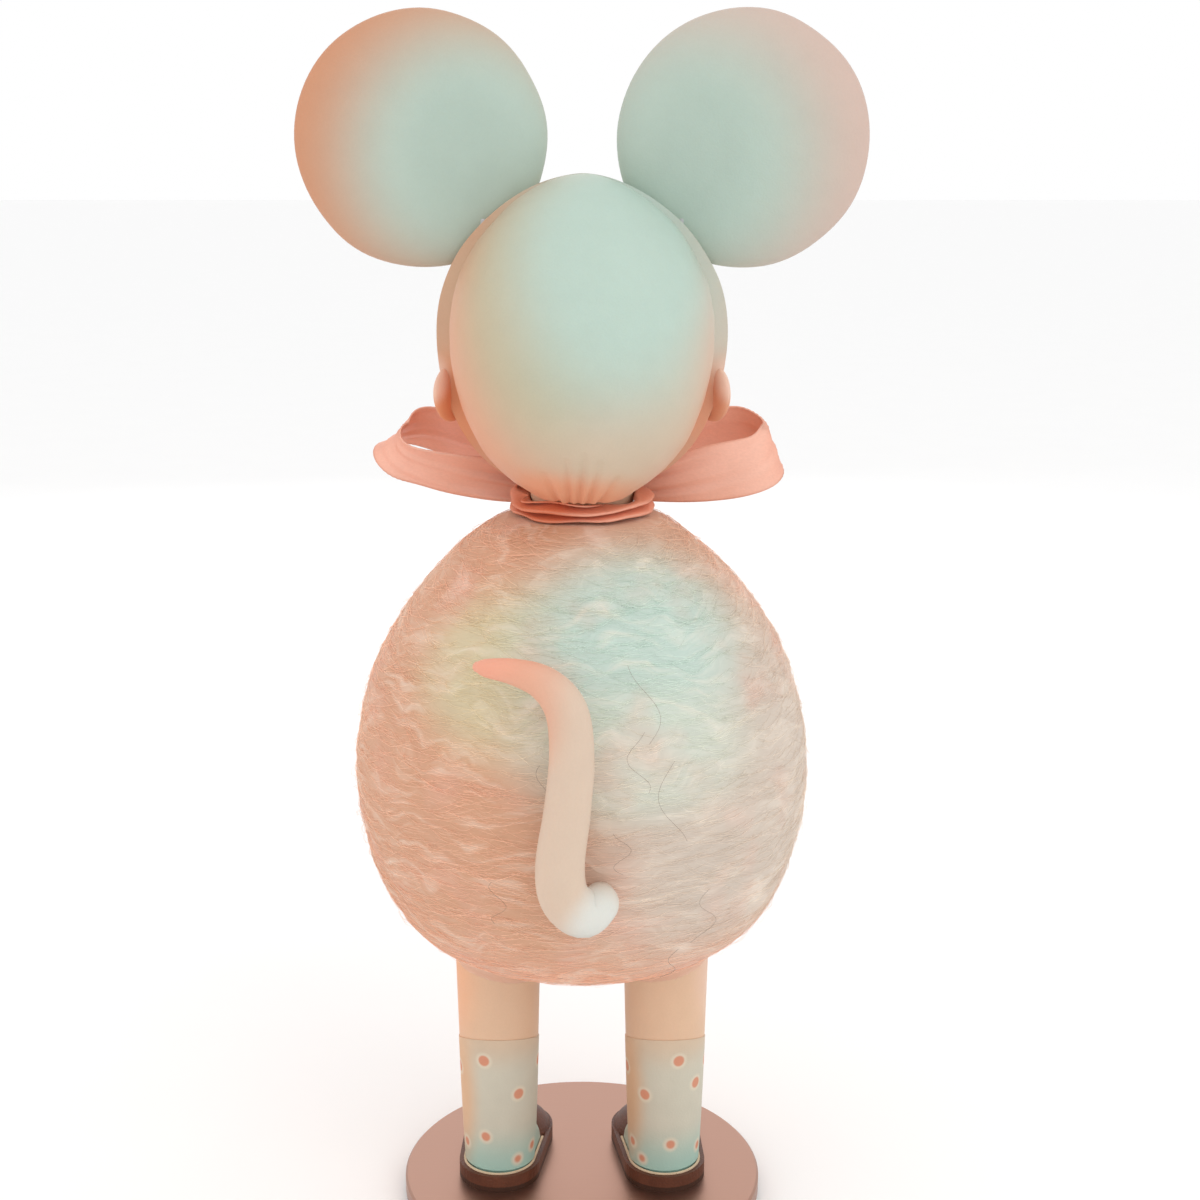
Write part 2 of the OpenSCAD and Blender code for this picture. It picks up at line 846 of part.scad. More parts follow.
// Rows of a bow loop on the left: out along the front, round the end and back
module bow_loop(side) {
    start = knot_w / 2 + clear_gap;
    reach = bow_reach - start;
    rows = [
        [start, knot_y + 0.2, knot_z, 4.4, 0, 0.1, 1],
        [start + 0.27 * reach, knot_y - 3.6, knot_z + 3.2, 0.85 * ribbon_w, 0, 0.2, 1],
        [start + 0.62 * reach, knot_y - 4.4, knot_z + 7.5, ribbon_w, -0.25, 0.3, 1],
        [start + 0.88 * reach, knot_y - 2, knot_z + 8.2, ribbon_w, -0.45, 0.4, 1],
        [start + reach, knot_y + 2.6, knot_z + 5, ribbon_w, -0.55, 0.4, 1],
        [start + 0.88 * reach, knot_y + 6.4, knot_z + 2, ribbon_w, -0.45, 0.4, 1],
        [start + 0.62 * reach, knot_y + 5.8, knot_z + 0.9, ribbon_w, -0.2, 0.3, 1],
        [start + 0.27 * reach, knot_y + 3.2, knot_z + 0.4, 0.7 * ribbon_w, 0, 0.1, 1],
        [start, knot_y + 1.6, knot_z, 4.4, 0, 0.1, 1]
    ];
    color("salmon") on_side(side) strip(smooth(rows, 4));
}

// A ribbon end on the left, from under the knot down over the front of the coat
module bow_end(side) {
    top = knot_low - clear_gap;
    rows = [
        [1.6, knot_y - 0.4, top, 2.6, 1, 0.1, 0],
        each [for (drop = [4, 10, 18, 26, 32])
            let (p = on_coat(5 + 0.42 * drop, top - drop, 1.1), width = 4 + 0.2 * drop)
            [max(p[0], width / 2 + clear_gap), p[1], p[2], width, 1, 0.25, 0.15]]
    ];
    color("salmon") on_side(side) strip(smooth(rows, 4));
}

// ---------- tail and arms ----------

// Drawn with its peg on +Y, then turned to its place round the body
module tail_shape() {
    r = tail_r;
    root = coat_r(tail_z + r) + clear_gap;
    side = body_r + clear_gap + r;
    rows = [
        [0, root, tail_z, 0.7 * r],
        [0.5, root + 0.6 * r, tail_z - 0.2, 0.82 * r],
        [3.2, side - 0.2, tail_z - 0.8, r],
        [6.2, side + 0.4, tail_z + 2.4, r],
        [6.8, side + 0.4, tail_z + 8, r],
        [5.6, side + 0.1, tail_z + 17, 0.94 * r],
        [4.8, side - 1, tail_z + 26, 0.9 * r],
        [5.6, side - 2.2, tail_z + 33, 0.84 * r],
        [8.8, side - 3.6, tail_z + 37, 0.7 * r],
        [13.4, side - 5.4, tail_z + 38.6, 0.54 * r],
        [18, side - 7.6, tail_z + 38.8, 0.4 * r],
        [20, side - 8.6, tail_z + 38.8, 0.2 * r]
    ];
    rotate([0, 0, tail_round]) bar(smooth(rows, 3), [1, -1, -1]);
}

module tail() {
    color("peachpuff") difference() {
        tail_shape();
        at_tail_peg() peg_bar(tail_peg_d + 2 * glue_gap, peg_depth, peg_reach + glue_gap);
    }
}

module tail_peg() {
    color("burlywood") at_tail_peg() peg_bar(tail_peg_d, peg_depth, peg_reach);
}

module tail_block() {
    color("burlywood") intersection() {
        at_tail_peg() peg_block(tail_peg_d);
        body_egg(coat_t + shell_t + glue_gap);
        above(hip_z + hip_h + glue_gap);
    }
}

// Rows of an arm: angle round from its peg, height from its peg, distance off the coat, radius
module arm_shape() {
    r = arm_r;
    rows = [for (row = [
            [0, 4.6, 4.6, 0.45], [0, 3.4, 4.7, 0.85], [0, 0, 4.8, 1], [-1, -6, 4.8, 0.98],
            [-3.5, -12, 4.8, 0.92], [-9, -16.6, 4.8, 0.86], [-15, -18.6, 4.8, 0.84],
            [-20, -19, 4.9, 1], [-23.4, -19, 4.9, 0.96], [-25.4, -18.8, 4.9, 0.5]])
        [each on_coat(shoulder_turn + row[0], arm_z + row[1], row[2] + clear_gap), row[3] * r]];
    bar(smooth(rows, 3), [1, 1, 0.2]);
}

module arm(side) {
    color("peachpuff") on_side(side) difference() {
        arm_shape();
        at_arm_peg() peg_bar(arm_peg_d + 2 * glue_gap, peg_depth, peg_reach + glue_gap);
    }
}

module arm_peg(side) {
    color("burlywood") on_side(side) at_arm_peg() peg_bar(arm_peg_d, peg_depth, peg_reach);
}

module arm_block(side) {
    color("burlywood") on_side(side) intersection() {
        at_arm_peg() peg_block(arm_peg_d);
        body_egg(coat_t + shell_t + glue_gap);
    }
}

// ---------- what is drawn ----------

base_pad();
base_plate();
foot_nuts();
foot_washers();
leg_rod(LEFT);  // left_leg_rod
leg_rod(RIGHT);  // right_leg_rod
leg(LEFT);  // left_leg
leg(RIGHT);  // right_leg
sock(LEFT);  // left_sock
sock(RIGHT);  // right_sock
shoe_sole(LEFT);  // left_shoe_sole
shoe_sole(RIGHT);  // right_shoe_sole
shoe_lining(LEFT);  // left_shoe_lining
shoe_lining(RIGHT);  // right_shoe_lining
shoe_upper(LEFT);  // left_shoe_upper
shoe_upper(RIGHT);  // right_shoe_upper
hip_block();
body_shell_lower();
body_shell_upper();
wool_coat();
spine_dowel();
neck_stub();
neck_washer();
head_screw();
head_screw_washer();
skull_back();
face_front();
neck_bush();
nose();
eye(LEFT);  // left_eye
eye(RIGHT);  // right_eye
ear(LEFT);  // left_ear
ear(RIGHT);  // right_ear
ear_pin(LEFT);  // left_ear_pin
ear_pin(RIGHT);  // right_ear_pin
side_ear(LEFT);  // left_side_ear
side_ear(RIGHT);  // right_side_ear
ribbon_collar();
ribbon_knot();
bow_loop(LEFT);  // left_bow_loop
bow_loop(RIGHT);  // right_bow_loop
bow_end(LEFT);  // left_bow_end
bow_end(RIGHT);  // right_bow_end
tail();
tail_peg();
tail_block();
arm(LEFT);  // left_arm
arm(RIGHT);  // right_arm
arm_peg(LEFT);  // left_arm_peg
arm_peg(RIGHT);  // right_arm_peg
arm_block(LEFT);  // left_arm_block
arm_block(RIGHT);  // right_arm_block
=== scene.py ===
# %% [markdown]
# # A standing mouse doll
# The doll is handmade: airbrushed clay for the head, ears, limbs and tail, needle-felted wool over a
# papier-mache shell for the body, a satin ribbon round the neck, small leather shoes, and a round metal
# plate to stand on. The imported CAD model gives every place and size. Blender adds what CAD can't: soft
# forms, loose fibres, folds and paint.

# %% Load the frame
import math
import random

import bmesh
import bpy
from mathutils import Matrix, Vector, noise


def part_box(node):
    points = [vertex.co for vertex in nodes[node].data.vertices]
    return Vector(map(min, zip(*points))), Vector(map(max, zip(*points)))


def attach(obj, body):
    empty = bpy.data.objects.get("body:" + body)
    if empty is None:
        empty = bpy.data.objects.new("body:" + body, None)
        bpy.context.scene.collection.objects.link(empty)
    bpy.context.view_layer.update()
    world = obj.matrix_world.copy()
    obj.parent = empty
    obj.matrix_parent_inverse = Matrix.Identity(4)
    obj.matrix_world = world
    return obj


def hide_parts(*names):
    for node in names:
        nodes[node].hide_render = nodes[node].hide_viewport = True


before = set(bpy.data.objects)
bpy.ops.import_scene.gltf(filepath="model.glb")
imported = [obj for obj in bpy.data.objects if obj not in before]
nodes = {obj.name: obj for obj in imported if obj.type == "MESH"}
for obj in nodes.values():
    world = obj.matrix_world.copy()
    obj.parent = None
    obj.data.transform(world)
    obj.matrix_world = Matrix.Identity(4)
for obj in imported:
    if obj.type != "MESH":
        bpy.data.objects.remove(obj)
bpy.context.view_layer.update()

MM = 0.001


# %% [markdown]
# ## Places taken from the CAD model
# Every new piece is placed from the box of the CAD node that it stands for, so nothing has to be fitted
# afterwards. All values below are in millimetres, because that is how a maker thinks of a doll this size.

# %% Places in millimetres
def box_mm(node):
    low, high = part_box(node)
    return Vector(low) / MM, Vector(high) / MM


plate_top = box_mm("base_plate")[1].z
coat_low, coat_high = box_mm("wool_coat")
body_r = coat_high.x
body_base = coat_low.z
shoulder_top = coat_high.z
skull_high = box_mm("skull_back")[1]
face_low, face_high = box_mm("face_front")
head_base = face_low.z
face_r = face_high.x
skull_r = skull_high.x
skull_y = skull_high.y - skull_r
print("body radius", round(body_r, 1), "head base", round(head_base, 1), "face radius", round(face_r, 1))

# %% [markdown]
# ## Egg outlines
# The body and the head are eggs. An egg here is half an ellipse whose width is raised to a power: a power
# under 1 fills that half out, as in the doll's belly, and a power over 1 draws it in, as at its shoulders.

# %% Egg outlines
BODY_UP, BODY_LOW = 51.0, 36.0
BODY_UP_POWER, BODY_LOW_POWER = 1.24, 0.46
HEAD_UP, HEAD_LOW = 27.2, 28.2
HEAD_UP_POWER, HEAD_LOW_POWER = 1.2, 0.75
body_mid = body_base + BODY_LOW
head_mid = face_high.z - HEAD_UP


def egg(t, radius, up, low, up_power, low_power):
    """Radius and height of an egg's outline at t radians from its top."""
    width = max(math.sin(t), 0)
    if t < math.pi / 2:
        return radius * width ** up_power, up * math.cos(t)
    return radius * width ** low_power, low * math.cos(t)


def coat_radius(z):
    """Radius of the wool coat at height z."""
    share = (z - body_mid) / (BODY_UP if z > body_mid else BODY_LOW)
    power = BODY_UP_POWER if z > body_mid else BODY_LOW_POWER
    return body_r * max(1 - share * share, 0) ** (power / 2)


def on_coat(turn, z, away=0.0):
    """A point on the coat, turn degrees round from the front, away from its surface by away."""
    r = coat_radius(z) + away
    return Vector((r * math.sin(math.radians(turn)), -r * math.cos(math.radians(turn)), z))


print("widest ring of the body at", round(body_mid, 1), "and of the head at", round(head_mid, 1))

# %% [markdown]
# ## Camera, light and floor
# The doll is seen from behind and a little above. A long lens keeps the ears and the plate in proportion.
# The light is one large soft box from the upper right, a warm one from the left and a pale room, which
# is how small dolls are photographed: it keeps the clay matte and gives no hard shadow.

# %% Camera, light and floor
CAMERA_BACK = 340
CAMERA_HEIGHT = 198.7
CAMERA_PITCH = 13.5
LENS = 57.9


def srgb(text, alpha=1.0):
    """A hex colour as linear light, which is what Blender's sockets hold."""
    parts = [int(text[i:i + 2], 16) / 255 for i in (1, 3, 5)]
    return tuple(p / 12.92 if p <= 0.04045 else ((p + 0.055) / 1.055) ** 2.4 for p in parts) + (alpha,)


def add_area_light(name, place, aim, size, power, colour):
    data = bpy.data.lights.new(name, "AREA")
    data.shape = "DISK"
    data.size = size
    data.energy = power
    data.color = srgb(colour)[:3]
    light = bpy.data.objects.new(name, data)
    light.location = Vector(place) * MM
    light.rotation_euler = (Vector(aim) * MM - light.location).to_track_quat("-Z", "Y").to_euler()
    bpy.context.scene.collection.objects.link(light)


def make_camera():
    data = bpy.data.cameras.new("camera")
    data.lens = LENS
    data.sensor_width = 36
    data.shift_x = 0.015
    data.clip_start = 0.01
    camera = bpy.data.objects.new("camera", data)
    camera.location = Vector((0, CAMERA_BACK, CAMERA_HEIGHT)) * MM
    camera.rotation_euler = (math.radians(90 - CAMERA_PITCH), 0, math.radians(180))
    bpy.context.scene.collection.objects.link(camera)
    bpy.context.scene.camera = camera


make_camera()
add_area_light("key", (-420, 520, 620), (0, 0, 120), 0.7, 1.1, "#FFF9F2")
add_area_light("warm", (620, 120, 260), (0, 0, 110), 0.6, 0.4, "#FFC09A")
add_area_light("front", (60, -620, 420), (0, 0, 130), 0.7, 0.5, "#FFFFFF")
bpy.context.scene.view_settings.view_transform = "Standard"
world = bpy.data.worlds.new("room")
bpy.context.scene.world = world
world.use_nodes = True
world.node_tree.nodes["Background"].inputs["Color"].default_value = srgb("#FFFFFF")
world.node_tree.nodes["Background"].inputs["Strength"].default_value = 1.0

# %% [markdown]
# ## One helper for every material
# A material is a small graph of nodes. One function adds a node, sets its properties and fills or links its
# inputs, so that each material below reads as a list of what its surface has.

# %% Material helpers
def add(tree, kind, inputs=None, **settings):
    """Adds a node with the given properties. inputs maps an input to a value or to a node's output."""
    made = tree.nodes.new(kind)
    for name, value in settings.items():
        setattr(made, name, value)
    for where, value in (inputs or {}).items():
        socket = made.inputs[where]
        if isinstance(value, bpy.types.NodeSocket):
            tree.links.new(value, socket)
        else:
            socket.default_value = value
    return made


def start_material(name, roughness, **constants):
    """A new material with its Principled shader, and Object coordinates in millimetres."""
    material = bpy.data.materials.new(name)
    material.use_nodes = True
    tree = material.node_tree
    shader = tree.nodes["Principled BSDF"]
    shader.inputs["Roughness"].default_value = roughness
    for socket, value in constants.items():
        shader.inputs[socket.replace("_", " ")].default_value = value
    where = add(tree, "ShaderNodeTexCoord")
    place = add(tree, "ShaderNodeVectorMath", {0: where.outputs["Object"], 1: (1 / MM,) * 3},
                operation="MULTIPLY")
    return material, tree, shader, place.outputs[0]


def soft_spots(tree, place, ground, sprays):
    """Soft spots of colour over a ground colour: airbrushed paint, and in some materials painted light or
    shade. A spray is a centre, a reach, a colour and a strength.
    """
    colour = srgb(ground)
    for centre, reach, tint, strength in sprays:
        offset = add(tree, "ShaderNodeVectorMath", {0: place, 1: centre}, operation="SUBTRACT")
        shape = add(tree, "ShaderNodeVectorMath", {0: offset.outputs[0], 1: reach}, operation="DIVIDE")
        far = add(tree, "ShaderNodeVectorMath", {0: shape.outputs[0]}, operation="LENGTH")
        fade = add(tree, "ShaderNodeMapRange",
                   {0: far.outputs["Value"], 1: 0.3, 2: 1.0, 3: strength, 4: 0.0},
                   interpolation_type="SMOOTHERSTEP")
        layer = add(tree, "ShaderNodeMix", {0: fade.outputs[0], 6: colour, 7: srgb(tint)}, data_type="RGBA")
        colour = layer.outputs[2]
    return colour


def stretched_noise(tree, place, spacing, stretch=(1, 1, 1), detail=3.0, rough=0.5):
    """Noise whose features are about spacing mm across, drawn out along an axis where stretch is under 1."""
    drawn = add(tree, "ShaderNodeVectorMath", {0: place, 1: stretch}, operation="MULTIPLY")
    made = add(tree, "ShaderNodeTexNoise",
               {"Vector": drawn.outputs[0], "Scale": 1 / spacing, "Detail": detail, "Roughness": rough})
    return made.outputs[0]


def vary(tree, colour, factor, amount):
    """Lightens and darkens a colour by up to amount, as a 0 to 1 factor says."""
    gain = add(tree, "ShaderNodeMapRange", {0: factor, 3: 1 - amount, 4: 1 + amount})
    base = colour if isinstance(colour, bpy.types.NodeSocket) else colour[:3]
    made = add(tree, "ShaderNodeVectorMath", {0: base, "Scale": gain.outputs[0]}, operation="SCALE")
    return made.outputs[0]


def bump(tree, height, depth, under=None):
    """A bump whose height of 0 to 1 stands for depth in mm."""
    made = add(tree, "ShaderNodeBump", {"Strength": 1.0, "Distance": depth * MM, "Height": height})
    if under is not None:
        tree.links.new(under, made.inputs["Normal"])
    return made.outputs[0]


# %% [markdown]
# ## Helpers for shapes
# A round bar such as the tail starts as a circle. Its rim is extruded once for each station along the way
# and moved there by a matrix, so every rolled piece of clay is drawn by the same two functions.

# %% Shape helpers
def station(centre, along, side, wide, tall):
    """A matrix that puts a unit shape at centre, facing along, scaled wide along side and tall across it."""
    z = Vector(along).normalized()
    x = (Vector(side) - Vector(side).dot(z) * z).normalized()
    y = z.cross(x)
    turn = Matrix((x, y, z)).transposed().to_4x4()
    return Matrix.Translation(centre) @ turn @ Matrix.Diagonal((wide, tall, 1, 1))


def sweep(bm, row, stations):
    """Extrudes the edges of row through the stations. row is drawn at unit size on the XY plane."""
    verts = set(row)
    edges = [e for e in bm.edges if e.verts[0] in verts and e.verts[1] in verts]
    bmesh.ops.transform(bm, matrix=stations[0], verts=row)
    before = stations[0]
    for now in stations[1:]:
        made = bmesh.ops.extrude_edge_only(bm, edges=edges)["geom"]
        edges = [g for g in made if isinstance(g, bmesh.types.BMEdge)
                 and all(v not in verts for v in g.verts)]
        new = {v for e in edges for v in e.verts}
        bmesh.ops.transform(bm, matrix=now @ before.inverted(), verts=list(new))
        verts, before = new, now
    return edges


def close_ends(bm):
    """Closes each open rim with a fan to its middle."""
    rims = [e for e in bm.edges if e.is_boundary]
    caps = bmesh.ops.holes_fill(bm, edges=rims)["faces"]
    bmesh.ops.poke(bm, faces=caps)


def to_object(bm, name, body, material, stands_for=(), smooth=True):
    """Turns a bmesh in millimetres into a finished piece that rides on a CAD body."""
    bmesh.ops.scale(bm, vec=(MM, MM, MM), verts=bm.verts)
    bmesh.ops.recalc_face_normals(bm, faces=bm.faces)
    mesh = bpy.data.meshes.new(name)
    bm.to_mesh(mesh)
    bm.free()
    mesh.polygons.foreach_set("use_smooth", [smooth] * len(mesh.polygons))
    mesh.materials.append(material)
    piece = bpy.data.objects.new(name, mesh)
    bpy.context.scene.collection.objects.link(piece)
    if stands_for:
        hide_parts(*stands_for)
    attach(piece, body)
    print(name, len(mesh.polygons), "faces")
    return piece


def smooth_path(rows, steps):
    """Catmull-Rom points through rows of numbers, with steps pieces between each two."""
    made = []
    for i in range(len(rows) - 1):
        a, b, c, d = (rows[min(max(i + k, 0), len(rows) - 1)] for k in (-1, 0, 1, 2))
        for s in range(steps):
            u = s / steps
            made.append([0.5 * (2 * q + (r - p) * u + (2 * p - 5 * q + 4 * r - w) * u * u
                                + (3 * q - p - 3 * r + w) * u ** 3) for p, q, r, w in zip(a, b, c, d)])
    made.append(list(rows[-1]))
    return made


def bar(name, rows, side, sides, body, material, stands_for, steps=4):
    """A round clay bar along rows of x, y, z and radius, with a rounded tip at each end."""
    path = smooth_path(rows, steps)
    points = [Vector(p[:3]) for p in path]
    headings = [points[min(i + 1, len(points) - 1)] - points[max(i - 1, 0)] for i in range(len(points))]
    stops = []
    for end, step in ((0, 1), (-1, -1)):
        out = -headings[end].normalized() * step
        tip = [(points[end] + out * path[end][3] * math.sin(a), headings[end], path[end][3] * math.cos(a))
               for a in (math.radians(d) for d in (80, 60, 35))]
        stops.append(tip if end == 0 else tip[::-1])
    whole = stops[0] + [(p, h, row[3]) for p, h, row in zip(points, headings, path)] + stops[1]
    bm = bmesh.new()
    ring = bmesh.ops.create_circle(bm, segments=sides, radius=1)["verts"]
    sweep(bm, ring, [station(p, h, side, r, r) for p, h, r in whole])
    close_ends(bm)
    return to_object(bm, name, body, material, stands_for)


print("helpers ready")

# %% [markdown]
# ## Clay
# The head, ears, limbs and tail are air-dry clay, sanded and then airbrushed with thin acrylic: a pale mint
# over warm peach. On the head, the ears and the legs the side towards the doll's left (+X) is kept warmer,
# partly by that peach and partly as painted warm light from the left; the pale side-ear tips are painted
# highlight. The paint is dry and matt, faintly mottled where the brush spat, and the clay under it keeps
# small dents from the fingers. Shallow bumps at two sizes stand for the dents and for the tooth of the
# paint.

# %% Clay
MINT = "#B5CABF"


def clay(name, ground, sprays, mottle=0.035, dents=0.12):
    material, tree, shader, place = start_material(name, 0.52, Specular_IOR_Level=0.35)
    shader.inputs["Subsurface Weight"].default_value = 0.08
    shader.inputs["Subsurface Radius"].default_value = (0.0016, 0.0009, 0.0006)
    colour = soft_spots(tree, place, ground, sprays)
    cloudy = stretched_noise(tree, place, 4.5)
    fine = stretched_noise(tree, place, 0.35)
    colour = vary(tree, colour, cloudy, mottle)
    colour = vary(tree, colour, fine, mottle)
    tree.links.new(colour, shader.inputs["Base Color"])
    broad = bump(tree, stretched_noise(tree, place, 5.5, detail=2.0), dents)
    tooth = bump(tree, fine, 0.03, broad)
    tree.links.new(tooth, shader.inputs["Normal"])
    rough = add(tree, "ShaderNodeMapRange", {0: cloudy, 3: 0.44, 4: 0.62})
    tree.links.new(rough.outputs[0], shader.inputs["Roughness"])
    return material


head_clay = clay("head clay", "#D99F80", [
    # Grey on the right side (-X) and tan on the left, so the left stays warmer: partly paint and partly
    # painted warm light from the left.
    ((-26, -6, head_mid + 2), (14, 18, 34), "#D3C6B6", 1.0),
    ((26, -6, head_mid + 8), (12, 18, 30), "#CDAC90", 0.8),
    ((-5, 18, head_mid - 12), (27, 40, 22), "#C9B59E", 1.0),
    ((8, 20, head_mid + 6), (20, 62, 32), "#B9B498", 0.9),
    # Peach low on each side: partly paint and partly painted shade below the side ears. The small pale spots
    # on the side-ear tips are painted highlight.
    ((-24, -4, head_mid - 14), (11, 16, 14), "#DB9674", 0.9),
    ((24, -4, head_mid - 14), (11, 16, 14), "#DE9168", 0.9),
    ((26, 2, head_mid - 8), (4, 6, 6), "#EFCDBB", 0.8),
    ((-26, 2, head_mid - 8), (4, 6, 6), "#EFCDBB", 0.8),
    ((-7, 20, head_mid + 14), (29, 62, 38), MINT, 1.0),
    ((0, -28, head_mid - 6), (15, 16, 13), "#F0DCCD", 0.9),
    ((15, -20, head_mid - 9), (8, 9, 7), "#E58F7C", 0.7),
    ((-15, -20, head_mid - 9), (8, 9, 7), "#E58F7C", 0.7),
    ((2, 14, head_base + 1), (15, 12, 8), "#E09A78", 0.9),
])
limb_clay = clay("limb clay", "#DAB799", [
    # Warm peach on the left leg's outer side and pale on the right leg's: partly paint and partly painted
    # warm light from the left.
    ((26, 0, 46), (13, 16, 22), "#E9AC84", 0.75),
    ((-26, 0, 48), (10, 16, 18), "#E5C2AE", 0.7),
    ((14, -34, 92), (10, 10, 8), "#F0A990", 0.8),
    ((-14, -34, 92), (10, 10, 8), "#F0A990", 0.8),
])
tail_paint = clay("tail clay", "#D3BDA9", [
    ((14, 38, 115), (16, 18, 14), "#E8A48B", 1.0),
    ((8, 42, 108), (10, 12, 14), "#DBA88D", 0.8),
    ((-2, 46, 75), (8, 11, 8), "#D6D8D2", 0.95),
])
nose_clay = clay("nose clay", "#D9826F", [((0, -31, 162), (2, 2, 2), "#F0B5A3", 0.8)], dents=0.03)
print("clay for the head, limbs, tail and nose")

# %% [markdown]
# Each ear is sprayed mint in the middle and peach round its rim, so its clay has its own sprays. The left
# ear's rim is warmer than the right ear's: partly paint and partly painted warm light from the left.

# %% Ear clay
def ear_paint(name, side, rim):
    x = side * 27.6
    return clay(name, rim, [
        ((side * 18, 2, 195), (34, 30, 35), "#B2C4B9", 1.0),
        ((x - side * 7, 2, 196), (13, 24, 18), "#AABDB2", 0.7),
        ((x, -12, 198), (17, 10, 17), "#EDB6A0", 0.95),
    ], mottle=0.03, dents=0.16)


# The left rim is warmer than the right: partly paint and partly painted warm light from the left.
left_ear_clay = ear_paint("left ear clay", 1, "#C9906F")
right_ear_clay = ear_paint("right ear clay", -1, "#CBB2A6")
print("ear clay ready")

# %% [markdown]
# ## Felted wool
# Needle-felted wool is thousands of fibres pushed down into a mat. The eye sees fine streaks that run round
# the body, a few darker and lighter wisps, and a soft bright edge where fibres stand up. The streaks are
# noise drawn out along the way round. Sheen gives the edge. The loose fibres are real strands, added later;
# their copy of the wool is painted lighter, as painted light on fibres that catch it.

# %% Felted wool
def wool(name, sprays, ground, relief=True, gain=1.0):
    material, tree, shader, place = start_material(name, 0.9, Specular_IOR_Level=0.15)
    shader.inputs["Sheen Weight"].default_value = 0.35
    shader.inputs["Sheen Roughness"].default_value = 0.5
    shader.inputs["Sheen Tint"].default_value = srgb("#FFF3E8")
    colour = soft_spots(tree, place, ground, sprays)
    split = add(tree, "ShaderNodeSeparateXYZ", {0: place})
    turn = add(tree, "ShaderNodeMath", {0: split.outputs[0], 1: split.outputs[1]}, operation="ARCTAN2")
    way = add(tree, "ShaderNodeMath", {0: turn.outputs[0], 1: body_r}, operation="MULTIPLY")
    warp = stretched_noise(tree, place, 14, detail=2.0)
    lift = add(tree, "ShaderNodeMath", {0: warp, 1: 16.0, 2: split.outputs[2]}, operation="MULTIPLY_ADD")
    unrolled = add(tree, "ShaderNodeCombineXYZ", {0: way.outputs[0], 1: lift.outputs[0]}).outputs[0]
    fibres = stretched_noise(tree, unrolled, 0.42, stretch=(0.07, 1, 1), detail=6.0, rough=0.7)
    wisps = stretched_noise(tree, unrolled, 2.6, stretch=(0.16, 1, 1), detail=4.0, rough=0.6)
    clouds = stretched_noise(tree, place, 12, detail=2.0)
    pale = add(tree, "ShaderNodeMapRange", {0: wisps, 1: 0.5, 2: 0.75, 3: 0.0, 4: 0.5})
    colour = add(tree, "ShaderNodeMix", {0: pale.outputs[0], 6: colour, 7: srgb("#E6DDD0")},
                 data_type="RGBA").outputs[2]
    rosy = add(tree, "ShaderNodeMapRange", {0: clouds, 1: 0.5, 2: 0.8, 3: 0.0, 4: 0.45})
    colour = add(tree, "ShaderNodeMix", {0: rosy.outputs[0], 6: colour, 7: srgb("#DDB0A0")},
                 data_type="RGBA").outputs[2]
    colour = vary(tree, colour, wisps, 0.1)
    colour = vary(tree, colour, fibres, 0.1)
    # A gain above 1 paints the colour lighter: painted light for the loose fibres.
    lit = add(tree, "ShaderNodeVectorMath", {0: colour, "Scale": gain}, operation="SCALE")
    colour = lit.outputs[0]
    tree.links.new(colour, shader.inputs["Base Color"])
    deep = bump(tree, wisps, 0.3)
    fine = bump(tree, fibres, 0.1, deep)
    if relief:
        tree.links.new(fine, shader.inputs["Normal"])
    return material


WOOL_SPRAYS_AND_SHADE = [
    # Grey on the right side (-X) leaves the left warmer: partly the felt's colour and partly painted warm
    # light from the left.
    ((-24, 20, 88), (40, 60, 52), "#CCBFB2", 1.0),
    ((0, 0, 50), (70, 70, 25), "#DDAB90", 0.9),
    ((12, 32, 112), (26, 30, 20), "#CFC6A6", 0.9),
    ((-8, 26, 115), (28, 40, 24), "#BFD1C8", 1.0),
    ((-10, 38, 100), (30, 30, 16), "#CDD4C8", 0.8),
    # Dark orange-brown just under the collar: painted shadow under the head and the ribbon.
    ((9, 16, 136), (14, 24, 8), "#BE8764", 0.75),
]
wool_mat = wool("felted wool", WOOL_SPRAYS_AND_SHADE, "#CD9F82")
# The loose fibres' wool has a paler ground and is 1.55 times lighter: painted light, so they show pale over
# the coat.
strand_lit_mat = wool("loose wool", WOOL_SPRAYS_AND_SHADE, "#DDB59B", relief=False, gain=1.55)
print("felted wool ready")

# %% [markdown]
# ## Satin
# Satin is woven so that long threads lie on one face and shine along one way only, so it takes an
# anisotropic gloss and a fine rib. Where the cloth turns away from the view Layer Weight deepens it to
# orange, and orange spots round the neck and the knot darken it further: painted shade in the folds and
# under the head.

